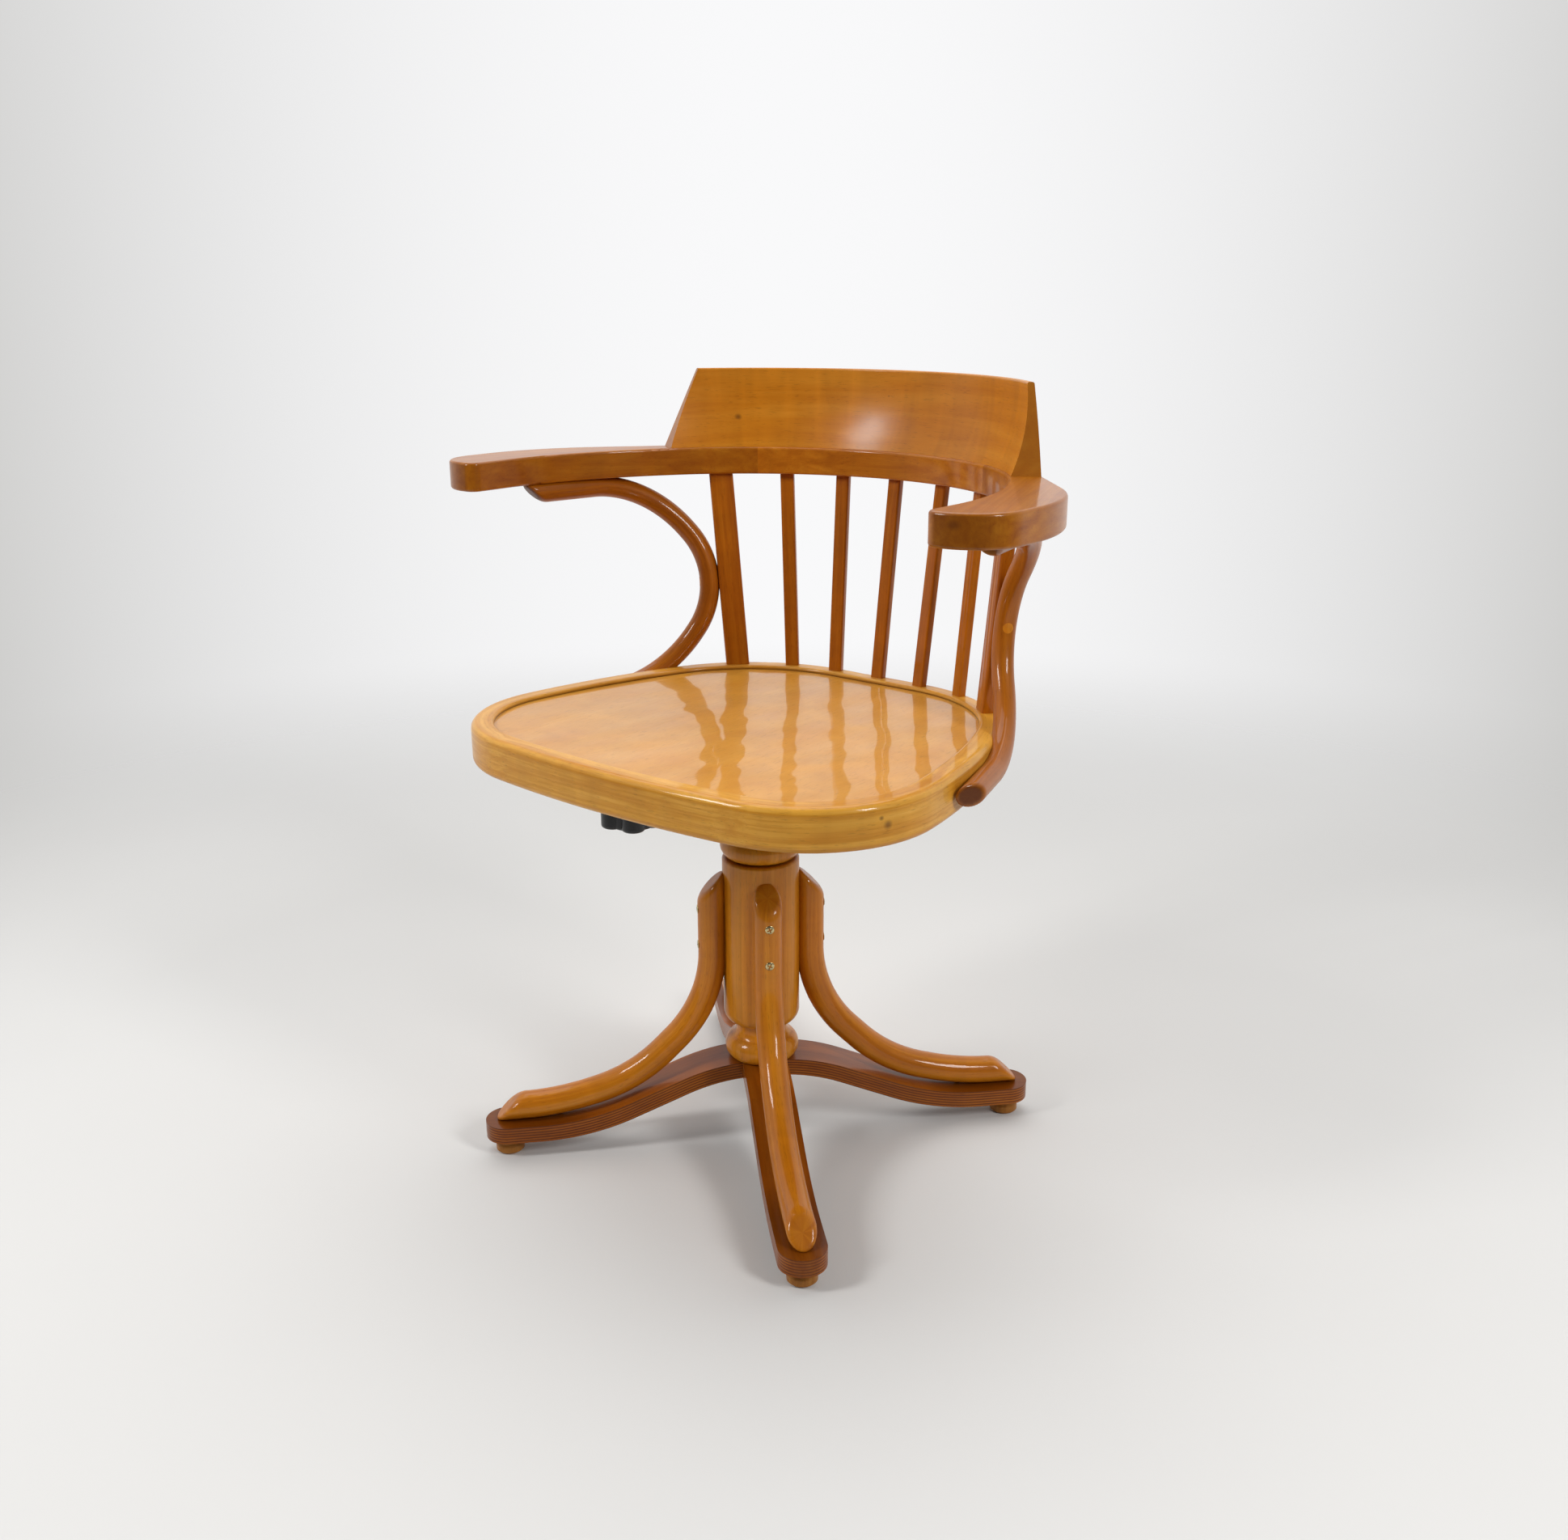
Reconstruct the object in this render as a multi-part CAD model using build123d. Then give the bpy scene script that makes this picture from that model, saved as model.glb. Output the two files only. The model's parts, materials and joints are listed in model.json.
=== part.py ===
from build123d import *
import os
from math import acos, atan2, cos, degrees, radians, sin, sqrt, tan

# Bentwood swivel desk chair, in millimetres. +Z is up, the front of the seat faces -Y, and a
# bearing is measured from +Y towards +X. Lengths are laid out from the swivel axis, and the
# finished pieces are moved so that the origin is on the floor under the middle of the plan.

# Heights above the floor
seat_height = 463.5            # top of the seat rim at the lowest setting
arm_height = 705.5             # top of the armrests and of the back rail

# Cross base: two laminated gull-wing bars, half-lapped, on turned feet
base_turn = 47.0               # bearing of the first bar end, from the seat's front
bar_width = 47.0
bar_thickness = 18.0
bar_reach = 294.0              # axis to the tip of a bar
bar_rise = 57.5                # the bar's middle stands this much above its ends
crown_flat = 8.0               # flat half-length at the crossing
crown_radius = 200.0
sag_radius = 250.0
bar_slope = 22.5               # steepest slope of a bar, degrees
foot_circle = 270.0            # axis to a foot's centre
foot_radius = 14.8
foot_height = 18.5
foot_edge = 2.5

# Column: one turned post with a ball foot, a neck and a straight shaft
column_radius = 39.8
shoulder_height = 146.5        # where the straight shaft begins
neck_radius = 27.0
neck_low = 126.5
neck_high = 133.5
ball_radius = 38.8
ball_height = 105.5
ball_foot_radius = 34.0
ball_neck_radius = 31.0
column_edge = 3.0

# Bent legs: round rods, coped to the column and seated on the bars
leg_diameter = 29.0
leg_axis = 51.5                # column axis to the upright stretch of a leg
leg_knee = 157.0               # height where the upright stretch would meet the slope
leg_ankle = 135.0              # distance out and
leg_ankle_height = 73.5        # height of the second corner of the leg's line
leg_toe = 220.0                # distance out of the third corner
leg_seat_cut = 0.4             # planed off the rod where it lies on the bar
leg_tip = 285.0                # axis to the lower end of a leg
leg_top_drop = 15.5            # column top to a leg's upper point
rod_bend = 0.97                # bend radius, as a share of the largest that fits the line
scarf_angle = 45.0

# Fasteners
screw_head = 9.0
screw_shank = 5.0
leg_screw_length = 42.0
leg_screw_drops = (40.0, 79.5) # below a leg's upper point
bar_screw_length = 38.0
bar_screw_reach = 216.0        # axis to the screw through a bar into its leg
foot_screw_length = 43.0
foot_screw_sink = 4.0
small_head = 7.5
small_shank = 4.0
recess_share = 0.62            # cross recess, of the head's diameter
recess_width = 1.3
recess_depth = 1.8
screw_well = 3.0               # cleared above a screw head
tie_bolt_diameter = 12.0
tie_web = 8.0                  # wood between the tie bolt and the spindle's bore
tie_washer_radius = 18.0
tie_washer_thickness = 3.0
tie_head_flats = 19.0
tie_head_height = 8.0

# Height spindle, its nut and the lock ring
spindle_diameter = 26.0
spindle_travel = 100.0
nut_flange_radius = 30.0
nut_flange_thickness = 5.0
nut_body_radius = 19.0
nut_length = 45.0
nut_screw_circle = 24.5
nut_screw_length = 22.0
stop_radius = 15.0
stop_thickness = 5.0
bore_slack = 1.5               # room round the spindle's stop in the column
ring_radius = 41.6
ring_end_radius = 36.0
ring_height = 24.5
ring_shadow_gap = 2.0          # column top to the wooden ring
ring_insert_radius = 22.0
flange_radius = 20.0
flange_thickness = 6.0
flange_lift = 3.0              # lock ring to the spindle's flange at the lowest setting

# Swivel hub and tilt pin
journal_diameter = 20.0
thrust_thickness = 3.0
hub_radius = 23.0
hub_bearing = 35.0
hub_half_width = 30.0
hub_half_depth = 23.0
hub_block_height = 14.0
cheek_thickness = 10.0
cheek_round = 14.0
pin_over_nut = 13.0            # hub nut to the tilt pin's axis
pin_below_plate = 19.5         # tilt plate to the tilt pin's axis
hub_washer_thickness = 2.5
hub_nut_flats = 24.0
hub_nut_height = 8.5
pin_diameter = 14.0
pin_overhang = 5.0
clip_thickness = 1.5
clip_radius = 11.0

# Tilt plate, rubber torsion bushes, tension arm, screw and knob
plate_half_width = 80.0
plate_front = -199.0
plate_back = 110.0
plate_gauge = 3.0
plate_flange = 12.0
plate_edge_radius = 8.0
ear_half_width = 18.0
sleeve_radius = 16.0
sleeve_bore = 26.0
sleeve_gap = 3.0               # hub cheek to sleeve, and sleeve to ear
arm_bar_thickness = 5.0
arm_bar_drop = 3.5             # plate to tension arm
arm_window = -45.0             # the arm's two strips join in front of this line
arm_nose = 13.0                # half width and end radius of the arm's front
tension_y = -184.0             # tension screw, behind the front of the seat
tension_diameter = 10.0
tension_head_radius = 11.0
tension_head_height = 4.0
knob_radius = 30.0
knob_lobes = 5
knob_lobe_radius = 11.0
knob_core_radius = 23.0
knob_height = 19.0
knob_edge = 3.0
knob_gap = 1.0                 # rim's underside to the knob's lobes
knob_insert_radius = 8.5
knob_turn = -45.0              # bearing of one lobe from the seat's front

# Seat: bent rim, inset panel and two battens
seat_front_half = 240.6        # rim opening: half width at the front corners
seat_back_half = 146.9         # and at the back corners
seat_front = -179.4            # y of the front corners
seat_back = 191.8              # y of the back corners
front_bow = 25.3
side_bow = 27.0
back_bow = 1.0
front_corner = 105.4
back_corner = 148.5
rim_width = 22.5
rim_depth = 41.0
rim_round = 7.0
rim_inner_round = 3.0
panel_thickness = 8.0
panel_recess = 4.5
panel_tongue = 5.0             # panel edge inside the rim's groove
batten_width = 40.0
batten_thickness = 14.0
batten_front = -130.0
batten_back = 84.0
batten_end_gap = 4.0
batten_screw_length = 20.0
batten_screw_out = 55.0        # tilt plate's edge to the batten screws
plate_screw_length = 13.0
plate_screw_x = 62.0

# Back: rail, arms, crest, posts and slats
rail_centre = -33.0            # y of the centre of the rail's arcs
rail_inner = 251.0
rail_width = 32.0
rail_thickness = 29.0
rail_joint = 34.6              # bearing of the joints between rail and arms
rail_round = 3.0
arm_elbow_bearing = 50.0       # bearing where the arm's inner edge leaves the rail's arc
arm_elbow_radius = 324.0
arm_flare_bearing = 48.4       # bearing where the outer edge leaves the rail's arc
arm_flare = 113.0              # straight stretch of the outer edge
arm_tip_width = 64.0
arm_front = -122.0
arm_inner_corner = 12.0
arm_outer_corner = 48.0
crest_height = 82.5
crest_inset = 4.0              # crest face behind the rail's inner edge
crest_top_thickness = 6.5
crest_back_lean = 5.0
crest_hollow = 5.0             # depth of the hollow in the crest's face
crest_end_low = 56.0           # bearing of the crest's ends at the rail
crest_end_high = 48.6          # and at the top
crest_edge = 2.0
crest_screw_length = 48.0
crest_screw_bearings = (-50.0, -20.8, 20.8, 50.0)
crest_screw_inset = 12.0       # rail's outer edge to the crest screws
dowel_diameter = 10.0
dowel_length = 48.0
dowel_spread = 8.0             # either side of the middle of the joint
slat_inset = 12.6              # rim's opening to the middle slat
slat_top_step = 13.9           # bearing from slat to slat at the rail
slat_foot_radius = 560.0       # arc on which the slats' feet stand
slat_foot_step = 5.7
slat_width = 15.0
slat_depth = 9.0
slat_round = 2.0
tenon_diameter = 7.0
tenon_length = 16.0
post_top_bearing = 43.7
post_foot_out = 16.9           # post foot outside and
post_foot_fore = 31.0          # in front of the rim's back corner
post_width = 26.0
post_depth = 14.0
post_round = 3.0
post_tenon = 10.0

# Arm braces: bent round rods from the arm, past the post, to the rim's side
brace_diameter = 22.0
brace_seat_cut = 1.5           # planed off under the arm
brace_tip_in = 10.7            # arm's inner edge to the end under the arm
brace_tip_y = -47.5
brace_shoulder_in = 19.5       # arm's inner edge, in front, to the upper bend
brace_shoulder_y = 106.9
brace_waist_height = 559.5
brace_waist = (1.2, 1.3)       # offset of the waist corner from the post's axis
brace_hip = (80.3, -90.8)      # offset of the hip corner from the rim's back corner
brace_end = (27.5, 139.3)      # offset of the lower end from the rim's front corner
brace_end_drop = 20.0          # rim top to the brace's lower run
brace_scarf = 45.0
brace_tip_trim = 0.4           # scarf set back so that no end face is left
plug_diameter = 10.0
plug_length = 6.0
plug_height = 556.5            # above the floor
post_screw_length = 34.0
arm_screw_length = 36.0
rim_screw_length = 38.0
arm_screw_share = 0.3          # place of the screw along the run under the arm
rim_screw_share = 0.7          # and along the run beside the rim

# Clearances
running_fit = 0.05             # radial, pins and shafts
glue_fit = 0.05                # tenons, dowels and screws in their holes
rest_gap = 0.3                 # faces of different bodies that meet at rest

bar_end_z = foot_height + bar_thickness / 2
bar_mid_z = bar_end_z + bar_rise
bar_top = bar_mid_z + bar_thickness / 2
toe_top = foot_height + bar_thickness
rail_bottom = arm_height - rail_thickness
rail_outer = rail_inner + rail_width
rail_line = rail_inner + rail_width / 2 - 1
back_height = arm_height + crest_height
rim_bottom = seat_height - rim_depth
panel_top = seat_height - panel_recess
panel_bottom = panel_top - panel_thickness
plate_top = panel_bottom - batten_thickness
plate_bottom = plate_top - plate_gauge
arm_bar_top = plate_bottom - arm_bar_drop
arm_bar_low = arm_bar_top - arm_bar_thickness
knob_top = rim_bottom - knob_gap
knob_low = knob_top - knob_height
pin_height = plate_bottom - pin_below_plate
hub_nut_top = pin_height - pin_over_nut
hub_seat = hub_nut_top - hub_nut_height - hub_washer_thickness
hub_bottom = hub_seat - hub_bearing
flange_top = hub_bottom - thrust_thickness
flange_bottom = flange_top - flange_thickness
ring_bottom = flange_bottom - flange_lift - ring_height
column_top = ring_bottom - ring_shadow_gap
nut_bottom = column_top - nut_length
stop_top = nut_bottom - spindle_travel
bore_bottom = stop_top - 2 * stop_thickness
tie_bolt_top = bore_bottom - tie_web
leg_top = column_top - leg_top_drop
post_foot = (seat_back_half + post_foot_out, seat_back - post_foot_fore)
arm_inner_x = rail_inner * sin(radians(arm_elbow_bearing)) \
    + arm_elbow_radius * (1 - sin(radians(arm_elbow_bearing)))
plan_middle = (seat_front - front_bow - rim_width + rail_centre + rail_outer) / 2
large = 1000.0                 # bigger than any one piece


def at_bearing(radius, bearing, centre_y=0.0):
    a = radians(bearing)
    return (radius * sin(a), centre_y + radius * cos(a))


def save(name, shape):
    export_step(Pos(0, -plan_middle, 0) * shape, os.path.join("parts", name + ".step"))


def group(shapes):
    return Compound([shape.solid() for shape in shapes])


def slab(x0, x1, y0, y1, z0, z1):
    return Pos((x0 + x1) / 2, (y0 + y1) / 2, (z0 + z1) / 2) * Box(x1 - x0, y1 - y0, z1 - z0)


def disc(radius, z0, z1):
    return Pos(0, 0, (z0 + z1) / 2) * Cylinder(radius, z1 - z0)


def bar_along_x(radius, x0, x1, z):
    return Pos((x0 + x1) / 2, 0, z) * Rot(0, 90, 0) * Cylinder(radius, x1 - x0)


def rod(path, diameter):
    return sweep(Plane(origin=path @ 0, z_dir=path % 0) * Circle(diameter / 2), path=path)


def turned(points, arcs):
    # a turning from its half outline, where arcs gives the mid point of each rounded stretch
    edges = []
    for i in range(len(points) - 1):
        if i in arcs:
            edges.append(ThreePointArc(points[i], arcs[i], points[i + 1]))
        else:
            edges.append(Line(points[i], points[i + 1]))
    edges.append(Line(points[-1], points[0]))
    return revolve(Plane.XZ * make_face(edges), Axis.Z)


def wood_screw(length, head, shank):
    # countersunk screw with a cross recess, its head flush with the origin, pointing down
    neck = shank / 2
    body = turned([(0, 0), (head / 2, 0), (neck, neck - head / 2), (neck, shank - length),
                   (0, -length)], {})
    arm = recess_share * head
    slot = Pos(0, 0, -recess_depth / 2)
    return body - slot * Box(arm, recess_width, recess_depth) - slot * Box(recess_width, arm, recess_depth)


def screw_hole(length, head, shank, well=screw_well):
    wide = head / 2 + glue_fit
    neck = shank / 2 + glue_fit
    return turned([(0, well), (wide, well), (wide, 0), (neck, neck - wide), (neck, shank - length),
                   (0, -length - glue_fit)], {})


def soft_path(points):
    # a rod's line: straight runs joined by arcs, each as large as its neighbours allow
    spots = [Vector(*p) for p in points]
    radii = []
    for a, b, c in zip(spots, spots[1:], spots[2:]):
        turn = radians((b - a).get_angle(c - b))
        radii.append(rod_bend * min((b - a).length, (c - b).length) / 2 / tan(turn / 2))
    return FilletPolyline(*spots, radius=radii)


# Cross base

def gull_edge(rise):
    z = bar_mid_z + rise
    middle = Line((0, z), (crown_flat, z))
    crown = JernArc(middle @ 1, middle % 1, crown_radius + rise, -bar_slope)
    turns = (crown_radius + sag_radius) * (1 - cos(radians(bar_slope)))
    fall = PolarLine(crown @ 1, (bar_rise - turns) / sin(radians(bar_slope)), direction=crown % 1)
    sag = JernArc(fall @ 1, fall % 1, sag_radius - rise, bar_slope)
    end = Line(sag @ 1, (bar_reach, (sag @ 1).Y))
    return [middle, crown, fall, sag, end]


def bar_blank():
    top = gull_edge(bar_thickness / 2)
    bottom = gull_edge(-bar_thickness / 2)
    tip = Line(top[-1] @ 1, bottom[-1] @ 1)
    side = make_face([*top, tip, *bottom, Line(bottom[0] @ 0, top[0] @ 0)])
    half = extrude(Plane.XZ * side, bar_width / 2, both=True)
    plan = extrude(SlotOverall(2 * bar_reach, bar_width), 2 * bar_mid_z)
    return (half + mirror(half, Plane.YZ)) & plan


def leg_blank():
    toe_z = toe_top + leg_diameter / 2 - leg_seat_cut
    line = soft_path([(leg_axis, 0, column_top), (leg_axis, 0, leg_knee),
                      (leg_ankle, 0, leg_ankle_height), (leg_toe, 0, toe_z), (bar_reach, 0, toe_z)])
    leg = rod(line, leg_diameter)
    top_cut = Plane(origin=(column_radius, 0, leg_top), z_dir=(sin(radians(scarf_angle)), 0,
                                                               cos(radians(scarf_angle))))
    toe_cut = Plane(origin=(leg_tip, 0, toe_top), z_dir=(cos(radians(scarf_angle)), 0,
                                                         sin(radians(scarf_angle))))
    reach = 3 * leg_diameter
    for cut in (top_cut, toe_cut):
        leg -= cut * Pos(0, 0, reach / 2) * Box(reach, reach, reach)
    return leg - disc(column_radius + glue_fit, 0, large)


def leg_screw_places():
    outer = leg_axis + sqrt(leg_diameter ** 2 - screw_head ** 2) / 2
    return [Plane(origin=(outer, 0, leg_top - drop), x_dir=(0, 1, 0), z_dir=(1, 0, 0))
            for drop in leg_screw_drops]


def bar_underside(reach):
    # height of a bar's lower face where it has begun to level out
    level = gull_edge(-bar_thickness / 2)[3]
    centre = level.arc_center
    if reach > (level @ 1).X:
        return foot_height
    return centre.Y - sqrt(level.radius ** 2 - (reach - centre.X) ** 2)


def build_base():
    blank = bar_blank()
    toward = [Rot(0, 0, base_turn - 90 + 90 * i) for i in range(4)]
    down = Rot(180, 0, 0)
    foot_place = Pos(foot_circle, 0, foot_screw_sink) * down
    bar_place = Pos(bar_screw_reach, 0, bar_underside(bar_screw_reach)) * down
    foot_hole = foot_place * screw_hole(foot_screw_length, screw_head, screw_shank, 2 * foot_screw_sink)
    bar_hole = bar_place * screw_hole(bar_screw_length, screw_head, screw_shank)
    tie_hole = disc(tie_bolt_diameter / 2 + glue_fit, 0, tie_bolt_top)

    bar = blank - tie_hole
    bar -= disc(tie_washer_radius + glue_fit, 0, bar_mid_z - bar_thickness / 2)
    for turn in (0, 180):
        bar -= Rot(0, 0, turn) * foot_hole
        bar -= Rot(0, 0, turn) * bar_hole
    lap = bar_width / 2 + glue_fit
    over = slab(-lap, lap, -bar_width, bar_width, bar_mid_z, 2 * bar_mid_z)
    under = slab(-lap, lap, -bar_width, bar_width, 0, bar_mid_z)
    save("base_bar_lower", toward[0] * (bar - over))
    save("base_bar_upper", toward[1] * (bar - under))

    waist = foot_radius - foot_edge / 2
    foot = turned([(0, 0), (foot_radius - foot_edge, 0), (foot_radius, foot_edge),
                   (foot_radius, 0.45 * foot_height), (waist, 0.6 * foot_height),
                   (foot_radius, 0.75 * foot_height), (foot_radius, foot_height), (0, foot_height)], {})
    foot = Pos(foot_circle, 0, 0) * foot - foot_hole
    leg = leg_blank() - blank - foot_hole - bar_hole
    for place in leg_screw_places():
        leg -= place * screw_hole(leg_screw_length, screw_head, screw_shank)
    for i, turn in enumerate(toward):
        save(f"foot_{i + 1}", turn * foot)
        save(f"leg_{i + 1}", turn * leg)
    save("foot_screws", group(t * foot_place * wood_screw(foot_screw_length, screw_head, screw_shank)
                              for t in toward))
    save("leg_bar_screws", group(t * bar_place * wood_screw(bar_screw_length, screw_head, screw_shank)
                                 for t in toward))
    leg_screws = [p * wood_screw(leg_screw_length, screw_head, screw_shank) for p in leg_screw_places()]
    save("leg_column_screws", group(t * screw for t in toward for screw in leg_screws))

    head_top = bar_mid_z - bar_thickness / 2 - tie_washer_thickness
    hexagon = extrude(RegularPolygon(tie_head_flats / 2, 6, major_radius=False), tie_head_height)
    bolt = disc(tie_bolt_diameter / 2, head_top, tie_bolt_top - glue_fit)
    save("tie_bolt", bolt + Pos(0, 0, head_top - tie_head_height) * hexagon)
    washer = disc(tie_washer_radius, head_top, head_top + tie_washer_thickness)
    save("tie_washer", washer - tie_hole)

    column = turned([(0, bar_top), (ball_foot_radius, bar_top), (ball_neck_radius, neck_low - 9),
                     (neck_radius, neck_low), (neck_radius, neck_high), (column_radius, shoulder_height),
                     (column_radius, column_top - column_edge), (column_radius - column_edge, column_top),
                     (0, column_top)],
                    {1: (ball_radius, ball_height),
                     2: ((ball_neck_radius + neck_radius) / 2 - 1, neck_low - 5),
                     4: (neck_radius + 0.72 * (column_radius - neck_radius), neck_high + 4),
                     6: (column_radius - 0.3 * column_edge, column_top - 0.3 * column_edge)})
    column -= tie_hole
    column -= disc(nut_flange_radius + glue_fit, column_top - nut_flange_thickness, large)
    column -= disc(nut_body_radius + glue_fit, nut_bottom, large)
    column -= disc(stop_radius + bore_slack, bore_bottom, large)
    for place in leg_screw_places():
        hole = place * screw_hole(leg_screw_length, screw_head, screw_shank)
        for turn in toward:
            column -= turn * hole
    return column


def build_spindle(column):
    thread_hole = disc(spindle_diameter / 2 + running_fit, 0, large)
    nut = disc(nut_flange_radius, column_top - nut_flange_thickness, column_top)
    nut += disc(nut_body_radius, nut_bottom, column_top)
    nut -= thread_hole
    places = [Rot(0, 0, 45 + 90 * i) * Pos(nut_screw_circle, 0, column_top) for i in range(4)]
    for place in places:
        hole = place * screw_hole(nut_screw_length, small_head, small_shank)
        nut -= hole
        column -= hole
    save("column", column)
    save("spindle_nut", nut)
    save("nut_screws", group(p * wood_screw(nut_screw_length, small_head, small_shank) for p in places))

    insert = disc(ring_insert_radius, column_top + rest_gap, ring_bottom + ring_height) - thread_hole
    ring = turned([(0, ring_bottom), (ring_end_radius, ring_bottom),
                   (ring_end_radius - 2, ring_bottom + ring_height), (0, ring_bottom + ring_height)],
                  {1: (ring_radius, ring_bottom + 0.46 * ring_height)})
    save("lock_ring", ring - disc(ring_insert_radius + glue_fit, 0, large))
    save("lock_ring_insert", insert)

    spindle = disc(spindle_diameter / 2, stop_top, flange_bottom)
    spindle += disc(flange_radius, flange_bottom, flange_top)
    spindle += disc(journal_diameter / 2, flange_top, hub_nut_top)
    stop_hole = Pos(0, 0, stop_top - stop_thickness) * Rot(180, 0, 0)
    spindle -= stop_hole * screw_hole(nut_screw_length, small_head, small_shank)
    save("spindle", spindle)
    stop = disc(stop_radius, stop_top - stop_thickness, stop_top)
    save("spindle_stop", stop - stop_hole * screw_hole(nut_screw_length, small_head, small_shank))
    save("stop_screw", stop_hole * wood_screw(nut_screw_length, small_head, small_shank))

    journal_hole = disc(journal_diameter / 2 + running_fit, 0, large)
    save("thrust_washer", disc(flange_radius, flange_top, hub_bottom) - journal_hole)
    washer = disc(nut_body_radius - 2, hub_seat + rest_gap, hub_seat + hub_washer_thickness)
    save("hub_washer", washer - journal_hole)
    hexagon = extrude(RegularPolygon(hub_nut_flats / 2, 6, major_radius=False), hub_nut_height)
    save("hub_nut", Pos(0, 0, hub_seat + hub_washer_thickness) * hexagon - journal_hole)


def build_hub():
    hub = disc(hub_radius, hub_bottom + rest_gap, hub_seat)
    block_top = hub_seat + hub_washer_thickness + 1
    hub += slab(-hub_half_width, hub_half_width, -hub_half_depth, hub_half_depth,
                block_top - hub_block_height, block_top)
    hub -= disc(nut_body_radius, hub_seat, large)
    inner = hub_half_width - cheek_thickness
    for side in (-1, 1):
        x0, x1 = sorted((side * inner, side * hub_half_width))
        cheek = slab(x0, x1, -hub_half_depth, cheek_round, block_top - hub_block_height, pin_height)
        cheek += bar_along_x(cheek_round, x0, x1, pin_height)
        stop = slab(x0, x1, -hub_half_depth, -cheek_round / 2, pin_height - 1, plate_bottom - rest_gap)
        hub += cheek + stop
    hub -= disc(journal_diameter / 2 + running_fit, 0, hub_seat + 1)
    hub -= disc(nut_body_radius, hub_seat, block_top + 1)
    hub -= bar_along_x(pin_diameter / 2 + glue_fit, -large, large, pin_height)
    save("swivel_hub", hub)

    ear_outer = plate_half_width
    pin = bar_along_x(pin_diameter / 2, -ear_outer - pin_overhang, ear_outer + pin_overhang, pin_height)
    save("tilt_pin", pin)
    pin_hole = bar_along_x(pin_diameter / 2 + glue_fit, -large, large, pin_height)
    clip_in = ear_outer + rest_gap
    clips = []
    for side in (-1, 1):
        x0, x1 = sorted((side * clip_in, side * (clip_in + clip_thickness)))
        clips.append(bar_along_x(clip_radius, x0, x1, pin_height) - pin_hole)
    save("pin_clips", group(clips))
    x0 = hub_half_width + sleeve_gap
    x1 = plate_half_width - plate_gauge - sleeve_gap
    bush = bar_along_x(sleeve_bore / 2 - running_fit, x0, x1, pin_height) - pin_hole
    save("torsion_rubbers", group([bush, mirror(bush, Plane.YZ)]))


# Tilt plate and tension gear

def build_tilt_plate():
    outer = extrude(Pos(0, (plate_front + plate_back) / 2)
                    * RectangleRounded(2 * plate_half_width, plate_back - plate_front, plate_edge_radius),
                    plate_gauge + plate_flange)
    inside = extrude(Pos(0, (plate_front + plate_back) / 2)
                     * RectangleRounded(2 * (plate_half_width - plate_gauge),
                                        plate_back - plate_front - 2 * plate_gauge,
                                        plate_edge_radius - plate_gauge), plate_flange)
    plate = Pos(0, 0, plate_bottom - plate_flange) * (outer - inside)
    mouth = plate_half_width - plate_edge_radius
    plate -= slab(-mouth, mouth, plate_front - 1, plate_front + plate_edge_radius, 0, plate_bottom)
    for side in (-1, 1):
        x0, x1 = sorted((side * (plate_half_width - plate_gauge), side * plate_half_width))
        plate += slab(x0, x1, -ear_half_width, ear_half_width, pin_height, plate_bottom)
        plate += bar_along_x(ear_half_width, x0, x1, pin_height)
    plate -= bar_along_x(pin_diameter / 2 + running_fit, -large, large, pin_height)
    plate -= Pos(0, tension_y, 0) * disc(tension_diameter / 2 + glue_fit, 0, large)

    x0 = hub_half_width + sleeve_gap
    x1 = plate_half_width - plate_gauge - sleeve_gap
    strip = bar_along_x(sleeve_radius, x0, x1, pin_height)
    strip += slab(x0, x1, arm_window, 0, arm_bar_low, arm_bar_top)
    strip += mirror(strip, Plane.YZ)
    tongue = make_face(Polyline((-x1, arm_window), (x1, arm_window), (arm_nose, tension_y),
                                (-arm_nose, tension_y), close=True))
    tongue += Pos(0, tension_y) * Circle(arm_nose)
    arm = strip + Pos(0, 0, arm_bar_low) * extrude(tongue, arm_bar_thickness)
    arm -= bar_along_x(sleeve_bore / 2, -large, large, pin_height)
    arm -= Pos(0, tension_y, 0) * disc(tension_diameter / 2 + rest_gap, 0, large)
    save("tension_arm", arm)

    head = disc(tension_head_radius, plate_top, plate_top + tension_head_height)
    screw = head + disc(tension_diameter / 2, knob_low + knob_edge, plate_top)
    save("tension_screw", Pos(0, tension_y, 0) * screw)

    lobes = Circle(knob_core_radius)
    for i in range(knob_lobes):
        x, y = at_bearing(knob_radius - knob_lobe_radius, 180 + knob_turn + i * 360 / knob_lobes)
        lobes += Pos(x, y) * Circle(knob_lobe_radius)
    knob = extrude(lobes, knob_height)
    knob = fillet(knob.faces().sort_by(Axis.Z)[0].edges(), knob_edge)
    knob = Pos(0, 0, knob_low) * knob
    insert_top = arm_bar_low - rest_gap
    screw_hole_z = disc(tension_diameter / 2 + running_fit, 0, large)
    insert = disc(knob_insert_radius, knob_low + knob_edge, insert_top) - screw_hole_z
    knob -= disc(knob_insert_radius + glue_fit, knob_low + knob_edge, large)
    save("tension_knob", Pos(0, tension_y, 0) * knob)
    save("knob_insert", Pos(0, tension_y, 0) * insert)
    return plate


# Seat

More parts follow.
